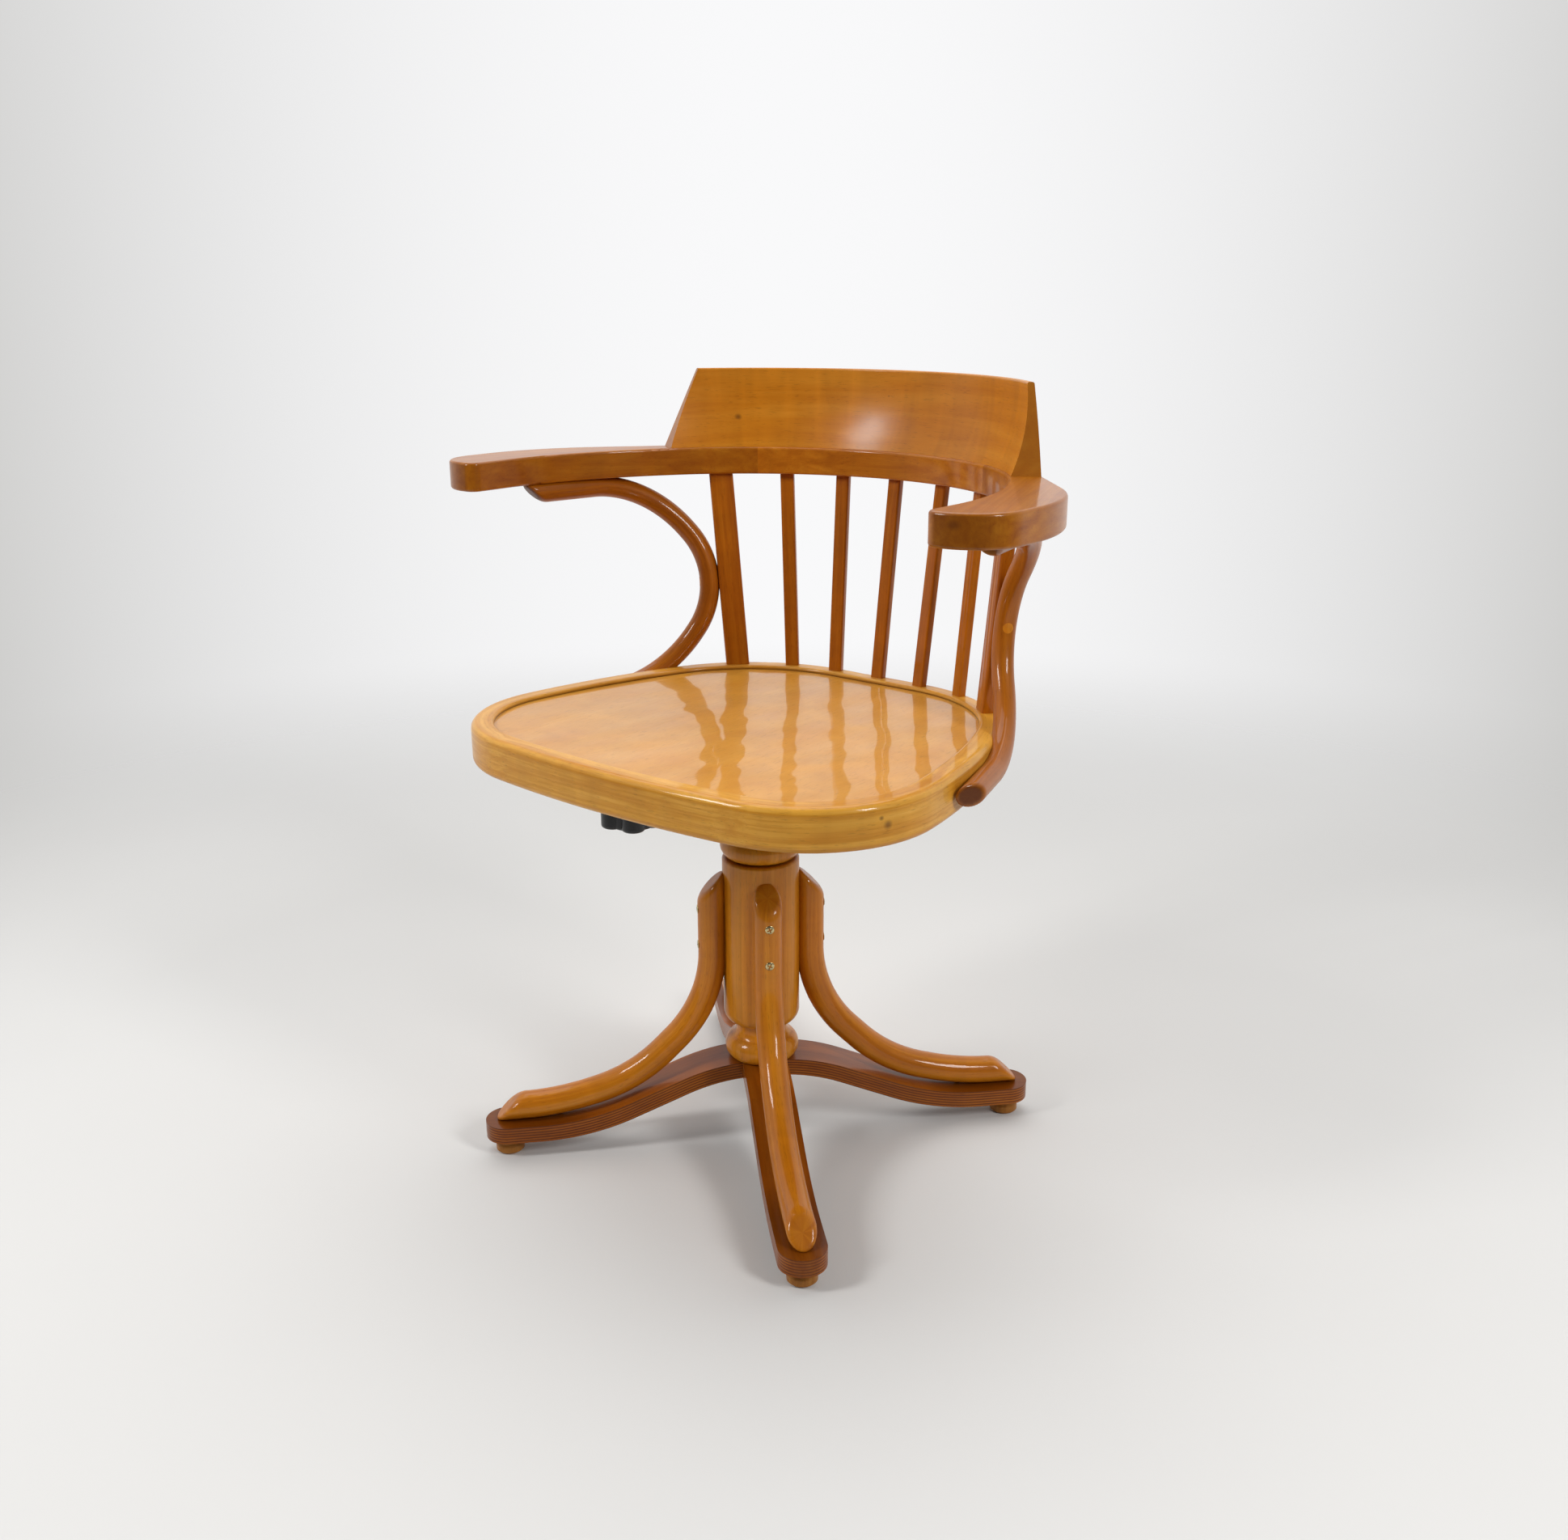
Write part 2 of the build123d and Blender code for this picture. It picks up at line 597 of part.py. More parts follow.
def seat_face(grow):
    front_left = (-seat_front_half, seat_front)
    front_right = (seat_front_half, seat_front)
    back_right = (seat_back_half, seat_back)
    back_left = (-seat_back_half, seat_back)
    run_x = seat_front_half - seat_back_half
    run_y = seat_back - seat_front
    chord = sqrt(run_x ** 2 + run_y ** 2)
    mid_x = (seat_front_half + seat_back_half) / 2 + side_bow * run_y / chord
    mid_y = (seat_front + seat_back) / 2 + side_bow * run_x / chord
    face = make_face([ThreePointArc(front_left, (0, seat_front - front_bow), front_right),
                      ThreePointArc(front_right, (mid_x, mid_y), back_right),
                      ThreePointArc(back_right, (0, seat_back + back_bow), back_left),
                      ThreePointArc(back_left, (-mid_x, mid_y), front_left)])
    corners = face.vertices().sort_by(Axis.Y)
    face = fillet(corners[:2], front_corner)
    corners = [v for v in face.vertices() if abs(v.Y - seat_back) < 0.01]
    face = fillet(corners, back_corner)
    arcs = []
    for edge in face.edges():
        centre = edge.arc_center
        scale = (edge.radius + grow) / edge.radius
        arcs.append(ThreePointArc([centre + (edge @ t - centre) * scale for t in (0, 0.5, 1)]))
    return make_face(arcs)


def seat_blanks():
    ring = seat_face(rim_width) - seat_face(0)
    rim = Pos(0, 0, rim_bottom) * extrude(ring, rim_depth)
    for end in (0, -1):
        face = rim.faces().filter_by(Axis.Z).sort_by(Axis.Z)[end]
        rim = fillet(face.outer_wire().edges(), rim_round)
        face = rim.faces().filter_by(Axis.Z).sort_by(Axis.Z)[end]
        rim = fillet(face.inner_wires()[0].edges(), rim_inner_round)
    panel = Pos(0, 0, panel_bottom) * extrude(seat_face(panel_tongue), panel_thickness)
    return rim - panel, panel


def build_seat(rim, panel, plate, rim_cuts):
    for cut in rim_cuts:
        rim -= cut
    save("seat_rim", rim)

    inside = extrude(seat_face(-batten_end_gap), large)
    battens = {}
    for name, y in (("seat_batten_front", batten_front), ("seat_batten_back", batten_back)):
        battens[name] = inside & slab(-large / 2, large / 2, y - batten_width / 2, y + batten_width / 2,
                                      plate_top, panel_bottom)
    up = Rot(180, 0, 0)
    spots = [Pos(s * (plate_half_width + batten_screw_out), y, plate_top) * up
             for y in (batten_front, batten_back) for s in (-1, 1)]
    for spot in spots:
        hole = spot * screw_hole(batten_screw_length, small_head, small_shank)
        panel -= hole
        battens = {name: batten - hole for name, batten in battens.items()}
    save("batten_screws", group(s * wood_screw(batten_screw_length, small_head, small_shank)
                                for s in spots))
    spots = [Pos(s * plate_screw_x, y, plate_bottom) * up
             for y in (batten_front, batten_back) for s in (-1, 1)]
    for spot in spots:
        hole = spot * screw_hole(plate_screw_length, small_head, small_shank)
        plate -= hole
        battens = {name: batten - hole for name, batten in battens.items()}
    head_room = Pos(0, tension_y, 0) * disc(tension_head_radius + 2, plate_top, panel_bottom)
    for name, batten in battens.items():
        save(name, batten - head_room)
    save("plate_screws", group(s * wood_screw(plate_screw_length, small_head, small_shank)
                               for s in spots))
    save("seat_panel", panel)
    save("tilt_plate", plate)


# Back

def post_axis(z):
    top = at_bearing(rail_line, post_top_bearing, rail_centre)
    t = (z - seat_height) / (rail_bottom - seat_height)
    return (post_foot[0] + t * (top[0] - post_foot[0]), post_foot[1] + t * (top[1] - post_foot[1]))


def upright(foot, bearing, width, depth, rounding, tenon):
    # a leaning slat or post between rim and rail, with its two tenons, and the holes for them
    start = Vector(*foot, seat_height)
    end = Vector(*at_bearing(rail_line, bearing, rail_centre), rail_bottom)
    axis = (end - start).normalized()
    across = Vector(cos(radians(bearing)), -sin(radians(bearing)), 0)
    plane = Plane(origin=start, x_dir=across - axis * across.dot(axis), z_dir=axis)
    length = (end - start).length
    spare = width + depth
    stick = plane * Pos(0, 0, -spare) * extrude(RectangleRounded(width, depth, rounding), length + 2 * spare)
    stick &= slab(-large, large, -large, large, seat_height, rail_bottom)
    holes = []
    for z in (0, length):
        stick += plane * Pos(0, 0, z) * Cylinder(tenon / 2, 2 * tenon_length)
        holes.append(plane * Pos(0, 0, z) * Cylinder(tenon / 2 + glue_fit, 2 * (tenon_length + glue_fit)))
    return stick, holes


def rail_face():
    inner = ThreePointArc(at_bearing(rail_inner, -rail_joint), (0, rail_inner),
                          at_bearing(rail_inner, rail_joint))
    outer = ThreePointArc(at_bearing(rail_outer, -rail_joint), (0, rail_outer),
                          at_bearing(rail_outer, rail_joint))
    return make_face([inner, Line(inner @ 1, outer @ 1), outer, Line(outer @ 0, inner @ 0)])


def arm_face():
    inner = ThreePointArc(at_bearing(rail_inner, rail_joint),
                          at_bearing(rail_inner, (rail_joint + arm_elbow_bearing) / 2),
                          at_bearing(rail_inner, arm_elbow_bearing))
    elbow = JernArc(inner @ 1, inner % 1, arm_elbow_radius, arm_elbow_bearing - 90)
    outer = ThreePointArc(at_bearing(rail_outer, rail_joint),
                          at_bearing(rail_outer, (rail_joint + arm_flare_bearing) / 2),
                          at_bearing(rail_outer, arm_flare_bearing))
    flare = PolarLine(outer @ 1, arm_flare, direction=outer % 1)
    outer_x = (elbow @ 1).X + arm_tip_width
    bend_radius = (outer_x - (flare @ 1).X) / (1 - sin(radians(arm_flare_bearing)))
    bend = JernArc(flare @ 1, flare % 1, bend_radius, arm_flare_bearing - 90)
    front_y = arm_front - rail_centre
    near = ((elbow @ 1).X, front_y)
    far = ((bend @ 1).X, front_y)
    face = make_face([inner, elbow, Line(elbow @ 1, near), Line(near, far), Line(far, bend @ 1), bend,
                      flare, outer, Line(outer @ 0, inner @ 0)])
    widest = arm_tip_width - arm_inner_corner - rail_round
    for corner, radius in ((near, arm_inner_corner), (far, min(arm_outer_corner, widest))):
        tip = min(face.vertices(), key=lambda v: abs(v.X - corner[0]) + abs(v.Y - corner[1]))
        face = fillet(tip, radius)
    return face


def on_joint(edge):
    ends = [abs(degrees(atan2(p.X, p.Y - rail_centre))) for p in (edge @ 0, edge @ 1)]
    straight = edge.geom_type == GeomType.LINE
    return straight and all(abs(bearing - rail_joint) < 0.01 for bearing in ends)


def rounded_board(face):
    board = Pos(0, rail_centre, rail_bottom) * extrude(face, rail_thickness)
    edges = [e for f in board.faces().filter_by(Axis.Z) for e in f.edges()]
    return fillet([e for e in edges if not on_joint(e)], rail_round)


def crest_solid():
    face_low = rail_inner + crest_inset
    top_out = rail_outer - crest_back_lean
    top_in = top_out - crest_top_thickness
    hollow = ((face_low + top_in) / 2 + crest_hollow, (arm_height + back_height) / 2)
    section = make_face([Line((face_low, arm_height), (rail_outer, arm_height)),
                         Line((rail_outer, arm_height), (top_out, back_height)),
                         Line((top_out, back_height), (top_in, back_height)),
                         ThreePointArc((top_in, back_height), hollow, (face_low, arm_height))])
    standing = Plane(origin=(0, 0, 0), x_dir=(0, 1, 0), z_dir=(1, 0, 0))
    half = revolve(standing * section, Axis.Z, -(crest_end_low + 10))
    if half.bounding_box().max.X < 1:
        half = mirror(half, Plane.YZ)
    inner_low = Vector(*at_bearing(face_low, crest_end_low), arm_height)
    outer_low = Vector(*at_bearing(rail_outer, crest_end_low), arm_height)
    high = Vector(*at_bearing(top_out, crest_end_high), back_height)
    outward = (outer_low - inner_low).cross(high - inner_low)
    if outward.Y > 0:
        outward = outward * -1
    end = Plane(origin=inner_low, x_dir=outer_low - inner_low, z_dir=outward)
    half -= end * Pos(0, 0, large / 2) * Box(large, large, large)
    half = fillet(half.edges().filter_by(GeomType.CIRCLE).group_by(Axis.Z)[-1], crest_edge)
    return Pos(0, rail_centre, 0) * (half + mirror(half, Plane.YZ))


def brace_corners():
    top_z = rail_bottom - brace_diameter / 2 + brace_seat_cut
    low_z = seat_height - brace_end_drop
    post_x, post_y = post_axis(brace_waist_height)
    return [(arm_inner_x + brace_tip_in, brace_tip_y, top_z),
            (arm_inner_x - brace_shoulder_in, brace_shoulder_y, top_z),
            (post_x + brace_waist[0], post_y + brace_waist[1], brace_waist_height),
            (seat_back_half + brace_hip[0], seat_back + brace_hip[1], low_z),
            (seat_front_half + brace_end[0], seat_front + brace_end[1], low_z)]


def scarf_box(tip, along, aside):
    # everything beyond a slanted cut through a rod's end
    lean = radians(brace_scarf)
    normal = along.normalized() * cos(lean) + aside * sin(lean)
    reach = 3 * brace_diameter
    return Plane(origin=tip, z_dir=normal) * Pos(0, 0, reach / 2) * Box(reach, reach, reach)


def height_on(path, z):
    low, high = 0.0, 1.0
    for _ in range(40):
        middle = (low + high) / 2
        if (path @ middle).Z > z:
            low = middle
        else:
            high = middle
    return path @ low


def build_back(rim_blank):
    pieces = {}
    rail_cuts = []
    rim_cuts = []
    foot_apex = seat_back + back_bow + slat_inset
    for i in range(-2, 3):
        foot = at_bearing(slat_foot_radius, i * slat_foot_step, foot_apex - slat_foot_radius)
        slat, holes = upright(foot, i * slat_top_step, slat_width, slat_depth, slat_round, tenon_diameter)
        pieces[f"slat_{i + 3}"] = slat
        rim_cuts.append(holes[0])
        rail_cuts.append(holes[1])
    post, holes = upright(post_foot, post_top_bearing, post_width, post_depth, post_round, post_tenon)

    tangent = (cos(radians(rail_joint)), -sin(radians(rail_joint)), 0)
    dowels = []
    dowel_holes = []
    for offset_r in (-dowel_spread, dowel_spread):
        x, y = at_bearing((rail_inner + rail_outer) / 2 + offset_r, rail_joint, rail_centre)
        place = Plane(origin=(x, y, arm_height - rail_thickness / 2), z_dir=tangent)
        dowels.append(place * Cylinder(dowel_diameter / 2, dowel_length))
        dowel_holes.append(place * Cylinder(dowel_diameter / 2 + glue_fit, dowel_length + 2 * glue_fit))
    save("arm_dowels", group(dowels + [mirror(d, Plane.YZ) for d in dowels]))

    crest = crest_solid()
    crest_places = []
    for bearing in crest_screw_bearings:
        x, y = at_bearing(rail_outer - crest_screw_inset, bearing, rail_centre)
        crest_places.append(Pos(x, y, rail_bottom) * Rot(180, 0, 0))
    crest_holes = [p * screw_hole(crest_screw_length, small_head, small_shank) for p in crest_places]
    for hole in crest_holes:
        crest -= hole
    save("crest_screws", group(p * wood_screw(crest_screw_length, small_head, small_shank)
                               for p in crest_places))
    save("crest", crest)

    corners = brace_corners()
    path = soft_path(corners)
    brace = rod(path, brace_diameter)
    spots = [Vector(*c) for c in corners]
    radius = brace_diameter / 2
    top_run = (spots[0] - spots[1]).normalized()
    low_run = (spots[4] - spots[3]).normalized()
    brace -= scarf_box(spots[0] - top_run * radius, top_run, Vector(0, 0, -1))
    brace -= scarf_box(spots[4] - low_run * (radius + brace_tip_trim), low_run, Vector(0, 0, 1).cross(low_run))
    brace -= slab(-large, large, -large, large, rail_bottom, 2 * large)
    brace = brace - post - rim_blank

    across = Vector(cos(radians(post_top_bearing)), -sin(radians(post_top_bearing)), 0)
    mark = height_on(path, plug_height)
    post_place = Plane(origin=mark + across * (radius - plug_length), z_dir=across)
    plug = post_place * Pos(0, 0, plug_length) * Cylinder(plug_diameter / 2, 2 * plug_length)
    plug = plug & rod(path, brace_diameter)
    plug_hole = post_place * Pos(0, 0, large / 20) * Cylinder(plug_diameter / 2 + glue_fit, large / 10)

    head_drop = sqrt(radius ** 2 - (small_head / 2) ** 2)
    under = spots[0] + (spots[1] - spots[0]) * arm_screw_share - Vector(0, 0, head_drop)
    arm_place = Pos(*under) * Rot(180, 0, 0)
    beside = spots[4] + (spots[3] - spots[4]) * (1 - rim_screw_share)
    inner = seat_face(0).face().outer_wire().closest_points(Vertex(beside.X, beside.Y, 0))[0]
    inward = (inner - Vector(beside.X, beside.Y, 0)).normalized()
    rim_place = Plane(origin=(inner.X, inner.Y, beside.Z), z_dir=inward)
    kinds = ((post_place, post_screw_length), (arm_place, arm_screw_length), (rim_place, rim_screw_length))
    screws = [p * wood_screw(length, small_head, small_shank) for p, length in kinds]
    cuts = [p * screw_hole(length, small_head, small_shank) for p, length in kinds]
    brace = brace - plug_hole - cuts[0] - cuts[1] - cuts[2]
    post -= cuts[0]
    rim_cuts += [holes[0], mirror(holes[0], Plane.YZ), cuts[2], mirror(cuts[2], Plane.YZ)]
    save("brace_screws", group(screws + [mirror(s, Plane.YZ) for s in screws]))
    save("brace_plugs", group([plug, mirror(plug, Plane.YZ)]))

    rail = rounded_board(rail_face())
    for hole in dowel_holes:
        rail = rail - hole - mirror(hole, Plane.YZ)
    for hole in rail_cuts + crest_holes:
        rail -= hole
    save("back_rail", rail)
    arm = rounded_board(arm_face())
    for hole in dowel_holes + [holes[1], cuts[1]] + crest_holes:
        arm -= hole
    for name, shape in (("arm", arm), ("post", post), ("brace", brace)):
        save(name + "_left", shape)
        save(name + "_right", mirror(shape, Plane.YZ))
    for name, shape in pieces.items():
        save(name, shape)
    return rim_cuts


os.makedirs("parts", exist_ok=True)
build_spindle(build_base())
build_hub()
rim, panel = seat_blanks()
build_seat(rim, panel, build_tilt_plate(), build_back(rim))
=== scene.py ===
import json
from functools import partial
from math import cos, pi, radians, sin, tan

import bmesh
import bpy
import numpy as np
from mathutils import Matrix, Vector

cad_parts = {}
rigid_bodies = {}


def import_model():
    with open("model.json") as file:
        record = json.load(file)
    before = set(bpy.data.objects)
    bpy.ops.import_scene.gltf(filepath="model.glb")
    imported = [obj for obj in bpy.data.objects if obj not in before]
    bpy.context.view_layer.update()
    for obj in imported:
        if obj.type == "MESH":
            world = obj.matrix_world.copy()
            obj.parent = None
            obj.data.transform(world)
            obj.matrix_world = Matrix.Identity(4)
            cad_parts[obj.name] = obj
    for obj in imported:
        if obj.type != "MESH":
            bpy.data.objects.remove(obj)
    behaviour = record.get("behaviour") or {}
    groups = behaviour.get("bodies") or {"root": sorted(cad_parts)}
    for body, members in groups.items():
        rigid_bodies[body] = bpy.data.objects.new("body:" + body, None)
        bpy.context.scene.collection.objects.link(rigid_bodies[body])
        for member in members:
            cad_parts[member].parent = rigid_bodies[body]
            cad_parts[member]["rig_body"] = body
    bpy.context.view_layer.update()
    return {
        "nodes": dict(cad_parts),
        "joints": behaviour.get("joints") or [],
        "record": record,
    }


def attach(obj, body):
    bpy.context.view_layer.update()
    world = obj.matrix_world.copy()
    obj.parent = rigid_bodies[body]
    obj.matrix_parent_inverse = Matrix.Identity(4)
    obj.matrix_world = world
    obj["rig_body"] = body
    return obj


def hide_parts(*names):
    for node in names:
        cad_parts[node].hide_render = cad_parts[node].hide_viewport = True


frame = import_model()
cadNodes = frame["nodes"]
swivelY = next(j for j in frame["joints"] if j["name"] == "seat_swivel")["pos_m"][1]
mm = 0.001
legBearing = -43  # degrees round the column from +X to the first leg; the others follow by quarters
print("frame loaded,", len(cadNodes), "nodes")


def linear(hexText):
    parts = [int(hexText[i:i + 2], 16) / 255 for i in (1, 3, 5)]
    return [p / 12.92 if p <= 0.04045 else ((p + 0.055) / 1.055) ** 2.4 for p in parts] + [1.0]


def addNode(tree, kind, links=None, **settings):
    node = tree.nodes.new(kind)
    for name, value in settings.items():
        setattr(node, name, value)
    for key, value in (links or {}).items():
        if isinstance(value, bpy.types.NodeSocket):
            tree.links.new(value, node.inputs[key])
        else:
            node.inputs[key].default_value = value
    return node


def sums(tree, operation, *values):
    return addNode(tree, "ShaderNodeMath", dict(enumerate(values)), operation=operation).outputs[0]


def vectors(tree, operation, *values):
    node = addNode(tree, "ShaderNodeVectorMath", dict(enumerate(values)), operation=operation)
    return node.outputs["Value" if operation in ("DOT_PRODUCT", "DISTANCE", "LENGTH") else "Vector"]


def ranged(tree, value, fromLow, fromHigh, toLow=0.0, toHigh=1.0, **settings):
    links = {0: value, 1: fromLow, 2: fromHigh, 3: toLow, 4: toHigh}
    return addNode(tree, "ShaderNodeMapRange", links, **settings).outputs[0]


def mixed(tree, share, first, second):
    links = {0: share, 6: first, 7: second}
    return addNode(tree, "ShaderNodeMix", links, data_type="RGBA").outputs[2]


def noise(tree, place, scale, detail, roughness=0.5, distortion=0.0):
    links = {"Vector": place, "Scale": scale, "Detail": detail, "Roughness": roughness,
             "Distortion": distortion}
    return addNode(tree, "ShaderNodeTexNoise", links).outputs[0]


# Beech under clear amber lacquer. Beech is even and diffuse-porous: soft streaks along the grain,
# fine short flecks, and a cross shimmer that the lacquer deepens.
def lacqueredBeech(name, look):
    material = bpy.data.materials.new(name)
    material.use_nodes = True
    tree = material.node_tree
    number, vector, scale, mix = (partial(f, tree) for f in (sums, vectors, ranged, mixed))
    shader = tree.nodes["Principled BSDF"]
    grain = addNode(tree, "ShaderNodeAttribute", attribute_name="grain").outputs["Vector"]

    def grained(sizesMm, detail, roughness=0.5, distortion=0.0):
        place = vector("MULTIPLY", grain, [1 / (size * mm) for size in sizesMm])
        return noise(tree, place, 1.0, detail, roughness, distortion)

    streak = grained(look["streakMm"], 4.0, 0.58, 0.5)
    ring = grained(look["ringMm"], 3.0, 0.55, 0.25)
    shimmer = grained(look["shimmerMm"], 2.0, 0.5, 0.8)
    fleck = grained(look["fleckMm"], 1.0)
    tone = addNode(tree, "ShaderNodeValToRGB", {0: streak})
    darkEnd, lightEnd = tone.color_ramp.elements[0], tone.color_ramp.elements[1]
    darkEnd.position, darkEnd.color = 0.30, linear(look["dark"])
    lightEnd.position, lightEnd.color = 0.72, linear(look["light"])
    tone.color_ramp.elements.new(0.5).color = linear(look["middle"])
    lines = scale(ring, 0.46, 0.60, 0.0, look["ringDepth"])
    colour = mix(lines, tone.outputs[0], linear(look["dark"]))
    sheen = scale(shimmer, 0.30, 0.70, 1 - look["shimmerDepth"], 1 + look["shimmerDepth"])
    colour = vector("MULTIPLY", colour, sheen)
    colour = vector("MULTIPLY", colour, scale(fleck, 0.62, 0.72, 1.0, 0.80))
    if "staveMm" in look:  # glued staves, each a little lighter or darker than the next
        apart = vector("MULTIPLY", grain, (0.0, 1 / (look["staveMm"] * mm), 0.0))
        links = {"Vector": vector("FLOOR", apart)}
        pick = addNode(tree, "ShaderNodeTexWhiteNoise", links, noise_dimensions="3D").outputs[0]
        colour = vector("MULTIPLY", colour, scale(pick, 0.0, 1.0, 0.84, 1.12))
    if "plyMm" in look:  # veneers with a dark glue line between them, seen on the sawn edges
        through = addNode(tree, "ShaderNodeSeparateXYZ", {0: grain}).outputs[2]
        layer = number("FRACT", number("DIVIDE", through, look["plyMm"] * mm))
        away = number("ABSOLUTE", number("SUBTRACT", layer, 0.5))
        glue = scale(away, 0.12, 0.26, look["plyDepth"], 0.0)
        colour = mix(glue, colour, linear(look["glue"]))
    place = addNode(tree, "ShaderNodeTexCoord").outputs["Object"]
    for spot, size in look.get("knots", ()):  # small knots, dark in the middle
        apart = vector("MULTIPLY", vector("SUBTRACT", place, spot), (0.7, 1.0, 1.0))
        core = scale(vector("LENGTH", apart), 0.25 * size * mm, size * mm, 0.6, 0.0)
        colour = mix(core, colour, linear(look["knotTone"]))
    if "seamShadeMm" in look:  # painted shade: the rim darkens in the corner where the panel meets it
        seam = addNode(tree, "ShaderNodeSeparateXYZ", {0: grain}).outputs
        low = scale(seam[2], look["seamShadeMm"][0] * mm, look["seamShadeMm"][1] * mm, 0.85, 0.0)
        cornerShade = number("MULTIPLY", low, number("LESS_THAN", seam[1], 0.0))
        colour = mix(cornerShade, colour, linear(look["seamShadeTone"]))
    if "endGrain" in look:  # cut ends drink the stain and turn dark
        cut = addNode(tree, "ShaderNodeAttribute", attribute_name="endCut").outputs["Fac"]
        colour = mix(number("MULTIPLY", cut, look["endGrain"]), colour, linear(look["endTone"]))
    tree.links.new(colour, shader.inputs["Base Color"])
    rough = scale(ring, 0.0, 1.0, look["rough"] - 0.05, look["rough"] + 0.06)
    tree.links.new(rough, shader.inputs["Roughness"])
    wave = grained(look["waveMm"], 1.0, 0.4)  # brushed lacquer never lies quite flat
    wavy = addNode(tree, "ShaderNodeBump", {
        "Strength": 1.0, "Distance": look["waveHighMm"] * mm, "Height": wave}).outputs[0]
    fine = addNode(tree, "ShaderNodeBump", {
        "Strength": 0.35, "Distance": 0.02 * mm, "Height": ring, "Normal": wavy}).outputs[0]
    tree.links.new(fine, shader.inputs["Normal"])
    tree.links.new(wavy, shader.inputs["Coat Normal"])
    shader.inputs["IOR"].default_value = 1.5
    # wood meets lacquer here, not air, so it hardly reflects
    shader.inputs["Specular IOR Level"].default_value = 0.12
    shader.inputs["Coat Weight"].default_value = look["coat"]
    shader.inputs["Coat Roughness"].default_value = look["coatRough"]
    return material


beechBase = {
    "streakMm": (170.0, 13.0, 13.0), "ringMm": (260.0, 3.2, 3.2), "shimmerMm": (30.0, 150.0, 150.0),
    "fleckMm": (9.0, 1.1, 1.1),  # real flecks are 2 x 0.3 mm, drawn coarser to show
    "ringDepth": 0.16, "shimmerDepth": 0.06, "rough": 0.42, "coat": 0.42, "coatRough": 0.06,
    "waveMm": (60.0, 30.0, 30.0), "waveHighMm": 0.10, "endGrain": 0.45, "endTone": "#6b3606",
    # the seam tone is painted shade, for the corner where the panel meets the rim
    "knotTone": "#3a1804", "seamShadeTone": "#3d1d04"}
rimLook = {
    **beechBase, "dark": "#be7b1c", "middle": "#d39734", "light": "#dfa646",
    # the seam band gives the heights where painted shade lies along the panel's edge
    "ringMm": (420.0, 9.0, 3.4), "ringDepth": 0.6, "seamShadeMm": (459.0, 461.6),
    "knots": (((0.2512, -0.1483, 0.4436), 5.0), ((0.2487, -0.1544, 0.4505), 2.6))}
panelLook = {
    **beechBase, "dark": "#c6852a", "middle": "#cc8d2f", "light": "#d19437",
    "streakMm": (70.0, 42.0, 42.0), "shimmerMm": (45.0, 60.0, 60.0), "ringDepth": 0.06,
    "rough": 0.36, "coat": 0.62, "coatRough": 0.045,
    "waveMm": (95.0, 60.0, 60.0), "waveHighMm": 2.6}
backLook = {
    **beechBase, "dark": "#9c5404", "middle": "#b0660b", "light": "#bf7717", "coatRough": 0.10}
armLook = {
    **backLook, "dark": "#8a4802", "middle": "#9c5906", "light": "#ab690f",
    "knots": (((0.2961, -0.1318, 0.6961), 5.0),)}
crestLook = {
    **backLook, "dark": "#b0660a", "middle": "#bd7311", "light": "#c88220",
    "streakMm": (230.0, 20.0, 20.0), "shimmerDepth": 0.10, "coatRough": 0.24, "ringDepth": 0.10,
    "waveMm": (70.0, 45.0, 45.0), "waveHighMm": 0.3, "endGrain": 0.7, "endTone": "#74400a",
    "knots": (((-0.1686, 0.1609, 0.7366), 4.0), ((-0.0143, 0.2250, 0.7613), 1.4))}
stickLook = {
    **beechBase, "dark": "#984e02", "middle": "#aa5e05", "light": "#b86d10",
    "streakMm": (190.0, 8.0, 8.0)}
plugLook = {
    **stickLook, "dark": "#b8690c", "middle": "#c67a18", "light": "#d08a2a", "endGrain": 0.0}
rodLook = {
    **beechBase, "dark": "#8e4a04", "middle": "#a25a09", "light": "#b26a14",
    "streakMm": (240.0, 8.0, 8.0), "endGrain": 0.85, "endTone": "#4d2206"}
legLook = {
    **beechBase, "dark": "#aa5f06", "middle": "#bc700d", "light": "#c8801c",
    "streakMm": (260.0, 9.0, 9.0), "ringMm": (300.0, 2.6, 5.0), "ringDepth": 0.24,
    "endGrain": 0.35, "endTone": "#8f4c0a"}
columnLook = {
    **legLook, "dark": "#b3690a", "middle": "#c87d14", "light": "#d38c24",
    "staveMm": 21.0, "shimmerDepth": 0.05}
barLook = {
    **beechBase, "dark": "#834106", "middle": "#954e09", "light": "#a45c12",
    "plyMm": 3.0,  # real veneers are 1.5 mm, too fine to show
    "plyDepth": 0.8, "glue": "#431c03", "rough": 0.34, "coat": 0.3}
footLook = {
    **beechBase, "dark": "#85511d", "middle": "#9c6427", "light": "#ac7637",
    "rough": 0.42, "coat": 0.2, "coatRough": 0.15, "endGrain": 0.2}

rimBeech = lacqueredBeech("bentRimBeech", rimLook)
panelVeneer = lacqueredBeech("seatVeneer", panelLook)
backBeech = lacqueredBeech("sawnBackBeech", backLook)
armBeech = lacqueredBeech("sawnArmBeech", armLook)
crestBeech = lacqueredBeech("crestBeech", crestLook)
stickBeech = lacqueredBeech("slatBeech", stickLook)
plugBeech = lacqueredBeech("turnedPlugBeech", plugLook)
rodBeech = lacqueredBeech("bentBraceBeech", rodLook)
legBeech = lacqueredBeech("bentLegBeech", legLook)
columnBeech = lacqueredBeech("turnedStaveBeech", columnLook)
barBeech = lacqueredBeech("laminatedBarBeech", barLook)
footBeech = lacqueredBeech("turnedFootBeech", footLook)


